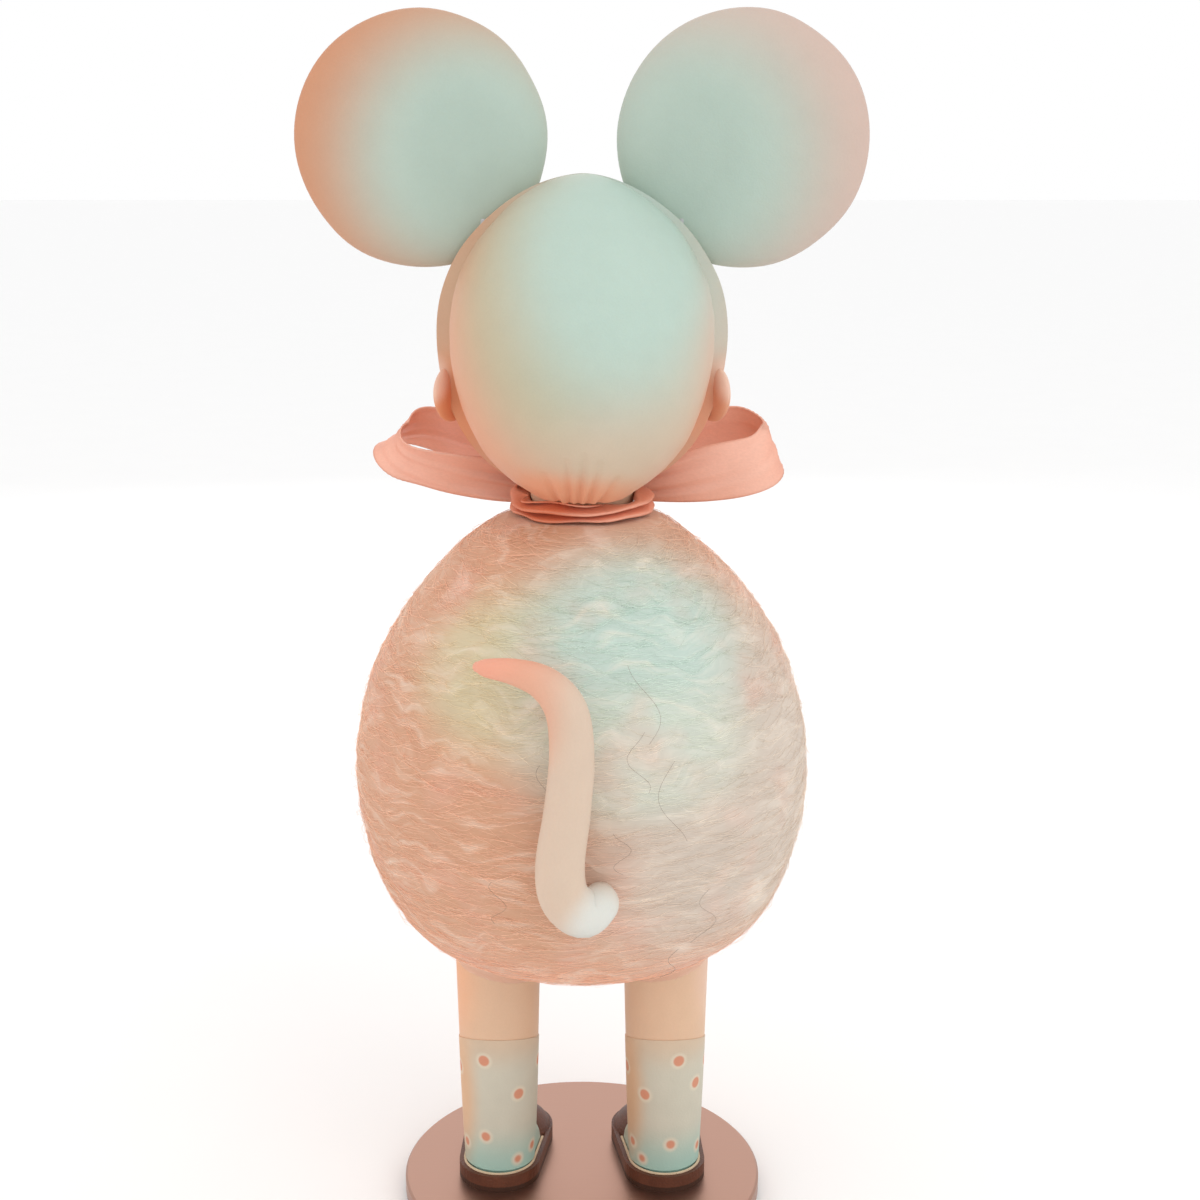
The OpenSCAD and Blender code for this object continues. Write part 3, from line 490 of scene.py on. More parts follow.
# %% Satin
def satin(name):
    material, tree, shader, place = start_material(name, 0.38, Specular_IOR_Level=0.5)
    shader.inputs["Anisotropic"].default_value = 0.6
    shader.inputs["Sheen Weight"].default_value = 0.3
    shader.inputs["Sheen Roughness"].default_value = 0.35
    shader.inputs["Sheen Tint"].default_value = srgb("#FFD9C2")
    soft = stretched_noise(tree, place, 6)
    # Layer Weight darkens the cloth to orange where it turns away from the view: painted shade for the
    # folds.
    fold_shade_facing = add(tree, "ShaderNodeLayerWeight", {"Blend": 0.22})
    # Orange spots round the neck and the knot: painted shade in the collar's folds and under the head.
    base = soft_spots(tree, place, "#F0BAA5", [
        ((0, 0, 136), (24, 24, 10), "#E08A66", 0.6),
        ((7, 8, 136), (10, 10, 8), "#D06535", 0.7),
    ])
    base = vary(tree, base, soft, 0.05)
    fold_shaded = add(tree, "ShaderNodeMix", {0: fold_shade_facing.outputs["Facing"], 6: base, 7: srgb("#E47C50")},
               data_type="RGBA")
    threads = stretched_noise(tree, place, 0.32, stretch=(0.5, 0.5, 1), detail=3.0)
    colour = vary(tree, fold_shaded.outputs[2], threads, 0.08)
    tree.links.new(colour, shader.inputs["Base Color"])
    tree.links.new(bump(tree, threads, 0.06), shader.inputs["Normal"])
    return material


satin_mat = satin("satin ribbon")
print("satin ready")

# %% [markdown]
# ## Leather and felt cloth
# The shoe leather is thin, waxed and rubbed pale where it bends, with a grain of small cells pressed in. The
# sole leather is near black: partly dark leather and partly painted shade along the bottom of each shoe. The
# shoe lining and the pad under the plate are felt: no gloss and a little fuzz.

# %% Leather and cloth
def leather(name, dark, pale, grain):
    material, tree, shader, place = start_material(name, 0.42, Specular_IOR_Level=0.45)
    cells = add(tree, "ShaderNodeTexVoronoi", {"Vector": place, "Scale": 1 / grain},
                feature="DISTANCE_TO_EDGE")
    rubbed = stretched_noise(tree, place, 5, detail=4.0)
    worn = add(tree, "ShaderNodeMix", {0: rubbed, 6: srgb(dark), 7: srgb(pale)}, data_type="RGBA")
    colour = vary(tree, worn.outputs[2], cells.outputs[0], 0.12)
    tree.links.new(colour, shader.inputs["Base Color"])
    tree.links.new(bump(tree, cells.outputs[0], 0.09), shader.inputs["Normal"])
    rough = add(tree, "ShaderNodeMapRange", {0: rubbed, 3: 0.34, 4: 0.58})
    tree.links.new(rough.outputs[0], shader.inputs["Roughness"])
    return material


def felt_cloth(name, ground, spacing, depth):
    material, tree, shader, place = start_material(name, 0.92, Specular_IOR_Level=0.2)
    shader.inputs["Sheen Weight"].default_value = 0.25
    fuzz = stretched_noise(tree, place, spacing, detail=5.0, rough=0.7)
    colour = vary(tree, srgb(ground), fuzz, 0.16)
    tree.links.new(colour, shader.inputs["Base Color"])
    tree.links.new(bump(tree, fuzz, depth), shader.inputs["Normal"])
    return material


shoe_mat = leather("waxed leather", "#3F1E12", "#7A4730", 0.7)
# Near-black sole: dark leather darkened further as painted shade along the bottom of the shoe.
sole_shaded_mat = leather("sole leather", "#241208", "#4A2B1B", 0.5)
lining_mat = felt_cloth("shoe lining", "#DCC3A4", 0.35, 0.05)
pad_mat = felt_cloth("felt pad", "#6E6A66", 0.4, 0.1)
print("leather, lining and pad ready")

# %% [markdown]
# ## Metal
# The plate is rose-coloured aluminium, brushed one way and anodised. The hardware inside is zinc-plated
# steel and one brass bush. Noise drawn out along one axis stands for the brush marks.

# %% Metal
def metal(name, colour, roughness, stretch, spacing):
    material, tree, shader, place = start_material(name, roughness, Metallic=1.0)
    scratches = stretched_noise(tree, place, spacing, stretch=stretch, detail=4.0)
    tree.links.new(vary(tree, srgb(colour), scratches, 0.07), shader.inputs["Base Color"])
    rough = add(tree, "ShaderNodeMapRange", {0: scratches, 3: roughness - 0.08, 4: roughness + 0.1})
    tree.links.new(rough.outputs[0], shader.inputs["Roughness"])
    tree.links.new(bump(tree, scratches, 0.015), shader.inputs["Normal"])
    return material


plate_mat = metal("rose aluminium", "#AC8676", 0.36, (0.03, 1, 1), 0.4)
steel_mat = metal("zinc steel", "#B9BCBE", 0.34, (1, 1, 0.2), 0.5)
brass_mat = metal("brass", "#D2A85C", 0.3, (1, 1, 0.3), 0.5)
print("metals ready")

# %% [markdown]
# ## Wood, paper, nylon and glass
# Wood, papier-mache and nylon sit inside and stay plain, but each has its own grain or cast. The eyes are
# glass beads, almost black and polished, so they carry one sharp highlight.

# %% Wood, paper, nylon and glass
def grained(name, dark, pale, stretch, spacing, roughness, depth):
    material, tree, shader, place = start_material(name, roughness)
    grain = stretched_noise(tree, place, spacing, stretch=stretch, detail=5.0, rough=0.6)
    colour = add(tree, "ShaderNodeMix", {0: grain, 6: srgb(dark), 7: srgb(pale)}, data_type="RGBA")
    tree.links.new(colour.outputs[2], shader.inputs["Base Color"])
    tree.links.new(bump(tree, grain, depth), shader.inputs["Normal"])
    return material


wood_mat = grained("birch", "#C39A66", "#E2C495", (1, 1, 0.12), 1.2, 0.6, 0.05)
paper_mat = grained("papier-mache", "#B9A88E", "#D8CBB4", (0.4, 1, 0.4), 3.0, 0.85, 0.15)
nylon_mat = grained("nylon", "#D9D6CC", "#E8E6DE", (1, 1, 1), 2.0, 0.4, 0.02)
glass_mat, glass_tree, glass_shader, glass_place = start_material("black glass", 0.06)
glass_shader.inputs["IOR"].default_value = 1.5
depth_tint = add(glass_tree, "ShaderNodeMix",
                 {0: stretched_noise(glass_tree, glass_place, 1.5), 6: srgb("#0B0908"), 7: srgb("#1C1512")},
                 data_type="RGBA")
glass_tree.links.new(depth_tint.outputs[2], glass_shader.inputs["Base Color"])
print("wood, paper, nylon and glass ready")

# %% [markdown]
# ## Socks
# The socks are painted on thin clay sleeves: grey-mint at the ankle, cream at the rim, with coral dots that
# each have a pale ring. Each sleeve is warmer on its side towards the doll's left: partly paint and partly
# painted warm light from the left. The dots are dabbed by eye, so each has a turn and a height of its own.

# %% Sock paint
LEG_X, LEG_Y = 15.8, 2.0
FRONT_DOTS = [(104, 27), (84, 15), (262, 28), (278, 15), (306, 27), (330, 15), (352, 26), (18, 14), (42, 27),
              (64, 20), (245, 11), (118, 12)]
LEFT_DOTS = [(160, 30.6), (212, 23.4), (160, 14.7), (212, 9.6)] + FRONT_DOTS
RIGHT_DOTS = [(198, 30.6), (147, 23.2), (188, 13.2), (140, 9.4), (230, 25)] + FRONT_DOTS


def sock_paint(name, side, dots):
    material, tree, shader, place = start_material(name, 0.6, Specular_IOR_Level=0.3)
    x = side * LEG_X
    colour = soft_spots(tree, place, "#C6C1B0", [
        ((x, LEG_Y, 6), (14, 14, 15), "#9DC4B9", 1.0),
        ((x, LEG_Y, 36), (14, 14, 11), "#D2B091", 0.8),
        # Peach on each sock's side towards +X: partly paint and partly painted warm light from the left.
        ((x + 9, LEG_Y + 3, 22), (7, 16, 24), "#D6AC87", 0.9),
    ])
    for turn, z in dots:
        a = math.radians(turn)
        centre = (x + 7.6 * math.sin(a), LEG_Y - 7.6 * math.cos(a), z)
        far = add(tree, "ShaderNodeVectorMath", {0: place, 1: centre}, operation="DISTANCE").outputs["Value"]
        for tint, inner, outer in (("#D8CDB8", 1.2, 1.9), ("#CF8668", 0.9, 1.25)):
            share = add(tree, "ShaderNodeMapRange", {0: far, 1: inner, 2: outer, 3: 0.9, 4: 0.0})
            colour = add(tree, "ShaderNodeMix", {0: share.outputs[0], 6: colour, 7: srgb(tint)},
                         data_type="RGBA").outputs[2]
    fine = stretched_noise(tree, place, 0.4)
    colour = vary(tree, colour, stretched_noise(tree, place, 3.5), 0.05)
    tree.links.new(colour, shader.inputs["Base Color"])
    tree.links.new(bump(tree, fine, 0.05), shader.inputs["Normal"])
    return material


left_sock_mat = sock_paint("left sock paint", 1, LEFT_DOTS)
right_sock_mat = sock_paint("right sock paint", -1, RIGHT_DOTS)
print("socks painted with", len(LEFT_DOTS), "and", len(RIGHT_DOTS), "dots")

# %% [markdown]
# ## Materials for the parts kept from CAD
# Turned, cut and bought parts keep their CAD shape. Each takes the material it would be made of.

# %% Materials on the CAD parts
CAD_MATERIALS = {
    pad_mat: ["base_pad"],
    plate_mat: ["base_plate"],
    steel_mat: ["foot_nuts", "foot_washers", "left_leg_rod", "right_leg_rod", "head_screw",
                "head_screw_washer", "left_ear_pin", "right_ear_pin"],
    nylon_mat: ["neck_washer"],
    limb_clay: ["left_leg", "right_leg", "neck_stub", "left_arm", "right_arm"],
    head_clay: ["skull_back", "face_front", "left_side_ear", "right_side_ear"],
    left_ear_clay: ["left_ear"],
    right_ear_clay: ["right_ear"],
    left_sock_mat: ["left_sock"],
    right_sock_mat: ["right_sock"],
    sole_shaded_mat: ["left_shoe_sole", "right_shoe_sole"],
    lining_mat: ["left_shoe_lining", "right_shoe_lining"],
    shoe_mat: ["left_shoe_upper", "right_shoe_upper"],
    wood_mat: ["hip_block", "spine_dowel", "tail_peg", "tail_block", "left_arm_peg", "left_arm_block",
               "right_arm_peg", "right_arm_block"],
    paper_mat: ["body_shell_lower", "body_shell_upper"],
    wool_mat: ["wool_coat"],
    brass_mat: ["neck_bush"],
    nose_clay: ["nose"],
    glass_mat: ["left_eye", "right_eye"],
    satin_mat: ["ribbon_collar", "ribbon_knot", "left_bow_loop", "right_bow_loop", "left_bow_end",
                "right_bow_end"],
    tail_paint: ["tail"],
}
for material, names in CAD_MATERIALS.items():
    for name in names:
        mesh = nodes[name].data
        mesh.materials.clear()
        mesh.materials.append(material)
dressed = sum(len(names) for names in CAD_MATERIALS.values())
print(dressed, "of", len(nodes), "CAD parts have a material")

# %% [markdown]
# ## Head
# The head is one clay egg. Its back is a dome laid over the fuller face, and the join shows at the sides as
# a soft step. Under the dome a few creases fan up from the neck, pressed in while the clay was wet. Both
# halves start as a sphere whose points are moved out to the egg's outline, then the unused half is cut off.

# %% Head helpers
def egg_sphere(bm, radius, middle, segments, rings):
    """A sphere moved out to the outline of the head's egg, centred on the given point."""
    ball = bmesh.ops.create_uvsphere(bm, u_segments=segments, v_segments=rings, radius=1)["verts"]
    for vert in ball:
        turn = math.atan2(vert.co.x, -vert.co.y)
        r, z = egg(math.acos(max(-1, min(1, vert.co.z))), radius, HEAD_UP, HEAD_LOW, HEAD_UP_POWER,
                   HEAD_LOW_POWER)
        vert.co = middle + Vector((r * math.sin(turn), -r * math.cos(turn), z))
    return ball


def keep_side(bm, point, normal):
    """Cuts off everything on the side that normal points away from, and closes the cut."""
    bmesh.ops.bisect_plane(bm, geom=bm.verts[:] + bm.edges[:] + bm.faces[:], plane_co=point, plane_no=normal,
                           clear_inner=True)
    close_ends(bm)


def groove(point, start, end, width, depth):
    """How deep a groove from start to end is at a point, seen from behind. It fades out at its far end."""
    spot = Vector((point.x, point.z))
    along = end - start
    share = max(0, min(1, (spot - start).dot(along) / along.length_squared))
    off = (spot - start - share * along).length
    return depth * (1 - share) ** 0.6 * math.exp(-(off / width) ** 2)


NAPE = [(-1.6, -6.2, 6), (-0.3, -3.2, 9), (0.9, -0.3, 10.5), (2, 2.8, 9.5), (3.2, 6.6, 6.5)]
nape_lines = [(Vector((low, head_base - 1)), Vector((high, head_base + rise))) for low, high, rise in NAPE]
print(len(nape_lines), "nape creases")

# %% [markdown]
# The dome at the back carries the thumb's dents and the creases. A little clay is drawn down towards the
# neck at its middle, where the ribbon pulls it in.

# %% Back of the head
bm = bmesh.new()
dome = egg_sphere(bm, skull_r + 0.2, Vector((0, skull_y, head_mid)), 300, 220)
for vert in dome:
    out = (vert.co - Vector((0, skull_y, head_mid))).normalized()
    pressed = 0
    if vert.co.y > 4 and vert.co.z < head_base + 14:
        pressed = sum(groove(vert.co, low, high, 0.6, 0.95) for low, high in nape_lines)
    dents = 0.22 * noise.noise(vert.co / 9) + 0.1 * noise.noise(vert.co / 3.4)
    vert.co += out * (dents - pressed)
    drawn = math.exp(-(vert.co.x / 9.5) ** 2) * max(0, min(1, (head_base + 15 - vert.co.z) / 12))
    if vert.co.y > 0:
        vert.co += Vector((0, 1.6, -2.3)) * drawn * min(1, vert.co.y / 9)
keep_side(bm, (0, 0.0, 0), (0, 1, 0))
keep_side(bm, (0, 0, head_base - 0.6), (0, 0, 1))
to_object(bm, "head_dome", "head", head_clay, ["skull_back"])

# %% [markdown]
# The face can't be seen from behind, so it is plain: a short round muzzle, two shallow eye hollows and a
# pressed smile line. The muzzle is a ball pulled into the egg by moving the egg's own points outwards.

# %% Face
bm = bmesh.new()
MUZZLE = Vector((0, face_low.y + 9, head_mid - 7))
face = egg_sphere(bm, face_r - 0.1, Vector((0, 0, head_mid)), 96, 80)
for vert in face:
    out = (vert.co - Vector((0, 0, head_mid))).normalized()
    near = (Vector((vert.co.x, vert.co.z)) - Vector((0, MUZZLE.z))).length
    swell = 5.0 * math.exp(-(near / 6.4) ** 2.4) if vert.co.y < 0 else 0
    smile = 0
    if vert.co.y < 0:
        line = vert.co.z - (MUZZLE.z - 4.2 + 0.06 * vert.co.x ** 2)
        smile = 0.35 * math.exp(-(line / 0.5) ** 2) * (abs(vert.co.x) < 4.6)
    dents = 0.2 * noise.noise(vert.co / 9)
    vert.co += out * (swell + dents - smile)
keep_side(bm, (0, 0.0, 0), (0, -1, 0))
keep_side(bm, (0, 0, head_base), (0, 0, 1))
to_object(bm, "head_face", "head", head_clay, ["face_front"])

# %% [markdown]
# ## Ears
# Each large ear is a thick clay disc, rolled flat and dished in front with a thumb. The back is a little
# full and carries the thumb's dents. The small side ears are flattened pellets pressed on below.

# %% Ears
def disc(name, centre, radius, thick, turn, rim_power, dish, material, stands_for, side):
    """A clay disc that faces Y, dished on its front, then turned about the vertical and put in place."""
    bm = bmesh.new()
    ball = bmesh.ops.create_uvsphere(bm, u_segments=96, v_segments=48, radius=1)["verts"]
    for vert in ball:
        wide = math.hypot(vert.co.x, vert.co.y)
        grow = wide ** rim_power / wide if wide > 1e-6 else 0
        vert.co = Vector((vert.co.x * grow * radius, vert.co.z * thick / 2, vert.co.y * grow * radius))
        share = math.hypot(vert.co.x, vert.co.z) / radius
        if vert.co.y < 0:
            vert.co.y += dish * max(0, 1 - (share / 0.86) ** 4)
        else:
            vert.co.y += 0.05 * thick * (1 - share ** 2) - 0.05 * thick
        wobble = 0.012 * radius * noise.noise(Vector((vert.co.x, vert.co.z, 7 * side)) / (0.5 * radius))
        vert.co *= 1 + wobble / radius
        vert.co.y += 0.12 * noise.noise(vert.co / 5.5) * min(1, thick / 4)
    bmesh.ops.rotate(bm, cent=(0, 0, 0), matrix=Matrix.Rotation(math.radians(turn), 3, "Z"), verts=bm.verts)
    bmesh.ops.translate(bm, vec=centre, verts=bm.verts)
    return to_object(bm, name, "head", material, stands_for)


for side, word in ((1, "left"), (-1, "right")):
    low, high = box_mm(word + "_ear")
    clay_here = left_ear_clay if side > 0 else right_ear_clay
    disc(word + "_ear_disc", (side * 27.6, -3.4, high.z - 22), 21.9, 6.8, side * 10, 0.42, 3.6,
         clay_here, [word + "_ear"], side)
    disc(word + "_side_ear_disc", (side * 23.1, -2.2, head_mid - 11), 5.2, 2.3, side * 58, 0.5, 0.5,
         head_clay, [word + "_side_ear"], side)

# %% [markdown]
# ## Wool coat
# The coat is the body's egg with its points pushed in and out, as felting needles leave it. At the bottom it
# is drawn down round each leg, so the leg seems to grow out of the wool. It is stiff felt over a hard
# shell, so the lumps are displaced and not simulated.

# %% Wool coat
def wool_swell(point):
    """Height of the felt's lumps at a point: broad swells plus ridges that run round the body."""
    turn = math.atan2(point.x, point.y) * body_r
    ridge = noise.noise(Vector((turn / 16, point.z / 2.6 + 1.3 * noise.noise(point / 13), 3)))
    return 0.5 * noise.noise(point / 15) + 0.26 * ridge + 0.14 * noise.noise(point / 2.2)


bm = bmesh.new()
coat = bmesh.ops.create_uvsphere(bm, u_segments=220, v_segments=150, radius=1)["verts"]
for vert in coat:
    turn = math.atan2(vert.co.x, -vert.co.y)
    r, z = egg(math.acos(max(-1, min(1, vert.co.z))), body_r, BODY_UP, BODY_LOW, BODY_UP_POWER,
               BODY_LOW_POWER)
    place = Vector((r * math.sin(turn), -r * math.cos(turn), body_mid + z))
    out = Vector((place.x, place.y, (place.z - body_mid) * 0.6)).normalized()
    vert.co = place + out * (wool_swell(place) - 0.5)
    for side in (1, -1):
        off = math.hypot(place.x - side * LEG_X, place.y - LEG_Y)
        if place.z < body_base + 12:
            vert.co.z -= 5.4 * math.exp(-max(0, off - 8.1) / 3.2) * (1 - (place.z - body_base) / 12)
keep_side(bm, (0, 0, shoulder_top - 0.4), (0, 0, -1))
to_object(bm, "felted_coat", "doll", wool_mat, ["wool_coat"])

# %% [markdown]
# The wool is also drawn down round the top of each leg in a thin skirt, which hides the joint there.

# %% Wool round the leg tops
LEG_FOOT_R, LEG_GROWTH, LEG_LEN = 6.4, 1.7, 47.0


def leg_radius(z):
    """Radius of a clothed leg at height z."""
    return LEG_FOOT_R + LEG_GROWTH * (max(z - plate_top, 0) / LEG_LEN) ** 0.65


SKIRT_LOW, SKIRT_TALL = body_base - 3.5, 12.0
for side, word in ((1, "left"), (-1, "right")):
    bm = bmesh.new()
    ring = bmesh.ops.create_circle(bm, segments=64, radius=1)["verts"]
    stops = []
    for i in range(15):
        u = i / 14
        z = SKIRT_LOW + SKIRT_TALL * u
        r = leg_radius(z) - 0.5 + 5.5 * u ** 1.7
        stops.append(station((side * LEG_X, LEG_Y, z), (0, 0, 1), (1, 0, 0), r, r))
    sweep(bm, ring, stops)
    close_ends(bm)
    for vert in bm.verts:
        low = max(0, (SKIRT_LOW + 4 - vert.co.z) / 4)
        turn = math.atan2(vert.co.x - side * LEG_X, vert.co.y - LEG_Y)
        vert.co.z += low * 0.8 * noise.noise(Vector((3 * math.cos(turn), 3 * math.sin(turn), side)))
    to_object(bm, word + "_leg_wool", "doll", wool_mat)

# %% [markdown]
# ## Loose fibres
# Loose fibres are what makes felt look like felt. Each is a three-sided sliver, laid out flat on the
# unrolled coat and then wrapped on to it. Most run round the body and dip a little; a few stand off it.

# %% Loose fibres
def fibre_row(rng, length, lift, thick):
    """Points of one fibre on the unrolled coat: way round, height, distance off and half thickness."""
    sag = rng.uniform(-0.05, 0.22) * length
    wave = rng.uniform(0, math.tau)
    rows = []
    for i in range(6):
        u = i / 5
        hump = math.sin(math.pi * u)
        rows.append((length * (u - 0.5), -sag * hump + 0.25 * math.sin(wave + 5 * u),
                     lift * hump ** 1.5 - 0.1, thick * (0.25 + 0.75 * hump)))
    return rows


def wrapped(start_turn, start_z, tilt, rows):
    """Wraps unrolled points on to the coat round a starting place."""
    made = []
    for way, rise, off, thick in rows:
        z = start_z + rise * math.cos(tilt) + way * math.sin(tilt)
        z = max(body_base + 1.5, min(shoulder_top - 0.5, z))
        along = way * math.cos(tilt) - rise * math.sin(tilt)
        turn = start_turn + math.degrees(along / max(coat_radius(z), 9))
        point = on_coat(turn, z)
        swell = wool_swell(point) - 0.5
        made.append((on_coat(turn, z, swell + off), thick))
    return made


def fibres(name, count, seed, length, lift, thick):
    rng = random.Random(seed)
    bm = bmesh.new()
    pieces = []
    for _ in range(count):
        z = rng.uniform(body_base + 1, shoulder_top - 1)
        while rng.uniform(0, body_r) > max(coat_radius(z), 24):
            z = rng.uniform(body_base + 1, shoulder_top - 1)
        rows = fibre_row(rng, rng.uniform(*length), rng.uniform(*lift), thick * rng.uniform(0.6, 1.3))
        pieces.append(wrapped(rng.uniform(0, 360), z, rng.gauss(0, 0.1), rows))
    sliver = bpy.data.meshes.new(name + " one")
    one = bmesh.new()
    bmesh.ops.create_cone(one, segments=3, radius1=1, radius2=1, depth=5, cap_ends=True)
    long_edges = [e for e in one.edges if abs(e.verts[0].co.z - e.verts[1].co.z) > 1]
    bmesh.ops.subdivide_edges(one, edges=long_edges, cuts=4)
    one.to_mesh(sliver)
    one.free()
    for _ in pieces:
        bm.from_mesh(sliver)
    bm.verts.ensure_lookup_table()
    each = len(sliver.vertices)
    for number, rows in enumerate(pieces):
        frames = []
        for i, (point, thick_here) in enumerate(rows):
            ahead = rows[min(i + 1, 5)][0] - rows[max(i - 1, 0)][0]
            frames.append(station(point, ahead, (point.x, point.y, 0.3), thick_here, thick_here))
        for k in range(each):
            vert = bm.verts[number * each + k]
            level = round(vert.co.z + 2.5)
            vert.co = frames[level] @ Vector((vert.co.x, vert.co.y, 0))
    return to_object(bm, name, "doll", strand_lit_mat)


fibres("lying_fibres", 5600, 11, (7, 22), (0.1, 0.4), 0.036)
fibres("standing_fibres", 1300, 23, (4, 10), (0.4, 1.3), 0.024)

# %% [markdown]
# A few dark curly hairs have been caught in the wool, each a thin bent thread.

# %% Dark hairs
CURLS = [(196, 108, 15), (193, 99, 12), (201, 92, 17), (189, 84, 9), (160, 74, 10), (212, 70, 13),
         (206, 60, 9), (171, 96, 7)]
dark_hair, hair_tree, hair_shader, hair_place = start_material("dark hair", 0.5)
hair_tone = add(hair_tree, "ShaderNodeMix",
                {0: stretched_noise(hair_tree, hair_place, 2), 6: srgb("#5A463A"), 7: srgb("#8A7160")},
                data_type="RGBA")
hair_tree.links.new(hair_tone.outputs[2], hair_shader.inputs["Base Color"])
for number, (turn, z, length) in enumerate(CURLS):
    rng = random.Random(100 + number)
    curl = rng.uniform(0.8, 1.6)
    rows = []
    for i in range(9):
        u = i / 8
        bend = math.sin(u * 5 * curl + number) * length * 0.16
        rows.append([*on_coat(turn + math.degrees(bend / body_r), z + (u - 0.5) * length * 0.8,
                              0.7 + 0.5 * math.sin(4 * u)), 0.026])
    bar("dark_hair_%d" % number, rows, (1, 0.3, 0), 5, "doll", dark_hair, [], steps=3)

# %% [markdown]
# ## Tail, arms and legs
# These are rolled clay bars. Each is drawn from a row of stations, with the radius of the clay at each,
# along the same line as its CAD part, so that its peg and its clearance stay where they were. The tail
# thins from a round root to a curled tip.

# %% Tail
TAIL_R = 4.1
TAIL_TURN = math.radians(4)
CLEAR = 0.6
tail_z = body_base + 25.5
root = coat_radius(tail_z + TAIL_R) + CLEAR
side_y = body_r + CLEAR + TAIL_R
TAIL_ROWS = [
    (0, root + 0.6, 0, 0.72), (0.5, root + 0.6 * TAIL_R, -0.2, 0.84), (3.2, side_y - 0.2, -0.8, 1),
    (6.2, side_y + 0.4, 2.4, 1), (6.8, side_y + 0.4, 8, 0.98), (5.6, side_y + 0.1, 17, 0.93),
    (4.8, side_y - 1, 26, 0.89), (5.6, side_y - 2.2, 33, 0.84), (8.8, side_y - 3.6, 37, 0.7),
    (13.4, side_y - 5.4, 38.6, 0.54), (18, side_y - 7.6, 38.8, 0.38), (19.4, side_y - 8.4, 38.8, 0.24),
]
turned = Matrix.Rotation(TAIL_TURN, 3, "Z")
tail_rows = [[*(turned @ Vector((x, y, tail_z + z))), r * TAIL_R] for x, y, z, r in TAIL_ROWS]
bar("tail_roll", tail_rows, (1, -1, -1), 32, "tail", tail_paint, ["tail"], steps=6)

# %% [markdown]
# Each arm runs from its shoulder peg down over the belly and ends in a rounded paw. The thumb is a small
# pellet of clay pinched on, and it swings with the arm.

# %% Arms
ARM_R, SHOULDER_TURN = 3.7, 38
arm_z = body_mid + 24
ARM_ROWS = [(0, 4.4, 4.6, 0.5), (0, 3.2, 4.7, 0.87), (0, 0, 4.8, 1), (-1, -6, 4.8, 0.97),
            (-3.5, -12, 4.8, 0.9), (-9, -16.6, 4.8, 0.84), (-15, -18.6, 4.8, 0.78), (-20, -19, 4.8, 0.98),
            (-23.2, -19, 4.8, 0.94), (-25, -18.8, 4.8, 0.6)]
for side, word in ((1, "left"), (-1, "right")):
    arm_rows = []
    for turn, rise, away, r in ARM_ROWS:
        point = on_coat(SHOULDER_TURN + turn, arm_z + rise, away + CLEAR)
        arm_rows.append([side * point.x, point.y, point.z, r * ARM_R])
    bar(word + "_arm_roll", arm_rows, (side, 1, 0.2), 28, word + "_arm", limb_clay,
        [word + "_arm"], steps=5)
    thumb = []
    for turn, rise, away, r in ((-18, -16.4, 5.4, 0.36), (-20, -14.6, 5.8, 0.36), (-21.6, -13.6, 6, 0.3)):
        point = on_coat(SHOULDER_TURN + turn, arm_z + rise, away + CLEAR)
        thumb.append([side * point.x, point.y, point.z, r * ARM_R])
    bar(word + "_thumb", thumb, (side, 1, 0.2), 16, word + "_arm", limb_clay, [], steps=3)

# %% [markdown]
# The legs widen slowly from ankle to hip, and stop inside the wool.

# %% Legs
for side, word in ((1, "left"), (-1, "right")):
    leg_rows = []
    for z in range(14, 56, 3):
        thin = 1.1 if z < 27 else 0.12
        leg_rows.append([side * LEG_X, LEG_Y, z, leg_radius(z) - thin])
    bar(word + "_leg_roll", leg_rows, (1, 0, 0), 48, "doll", limb_clay, [word + "_leg"], steps=2)

# %% [markdown]
# ## Ribbon
# The ribbon is polyester satin 10 mm wide. Every part of it is a flat strip of cloth, drawn as a grid and
# laid along a row of points. Its cross width is free to cup, and small folds run along it where it was
# pulled tight. Near the knot the strip is gathered, so it is narrower there and the folds are deeper.

# %% Ribbon helper
RIBBON_W, RIBBON_T = 10.5, 0.3


def ribbon(name, rows, stands_for, folds, cup, seed, steps=8):
    """A strip along rows of x, y, z, width and the direction of its width."""
    path = smooth_path(rows, steps)
    count = len(path) - 1
    bm = bmesh.new()
    bmesh.ops.create_grid(bm, x_segments=20, y_segments=2 * count, size=0.5)
    for vert in bm.verts:
        across, way = vert.co.x, (vert.co.y + 0.5) * count
        i = min(int(way), count - 1)
        here, there = path[i], path[i + 1]
        row = [a + (b - a) * (way - i) for a, b in zip(here, there)]
        ahead = Vector(there[:3]) - Vector(here[:3])
        behind = Vector(path[max(i - 1, 0)][:3])
        after = Vector(path[min(i + 2, count)][:3])
        soft = (ahead * (1 - abs(way - i - 0.5)) + (after - behind) * 0.25)
        frame_here = station(row[:3], soft, row[4:7], 1, 1)
        gather = max(0.0, 1.05 - row[3] / RIBBON_W)
        wave = math.sin(across * 17 + 0.25 * way + seed) + 0.6 * math.sin(across * 31 + 0.4 * way)
        fold = folds * (0.22 + 1.6 * gather) * wave
        crumple = 0.5 * folds * noise.noise(Vector((across * 3, way / 5, seed)))
        lift = cup * (across * across * 4 - 0.5) + fold + crumple
        vert.co = frame_here @ Vector((across * row[3], lift, 0))
    piece = to_object(bm, name, "doll", satin_mat, stands_for)
    thicken(piece)
    return piece


def thicken(piece):
    modifier = piece.modifiers.new("cloth thickness", "SOLIDIFY")
    modifier.thickness = RIBBON_T * MM
    modifier.offset = 0


# %% [markdown]
# Each loop goes out along the front, turns over at its end and comes back behind. The two differ a little,
# as a bow tied by hand does. The ends hang side by side from under the knot and lie over the belly.

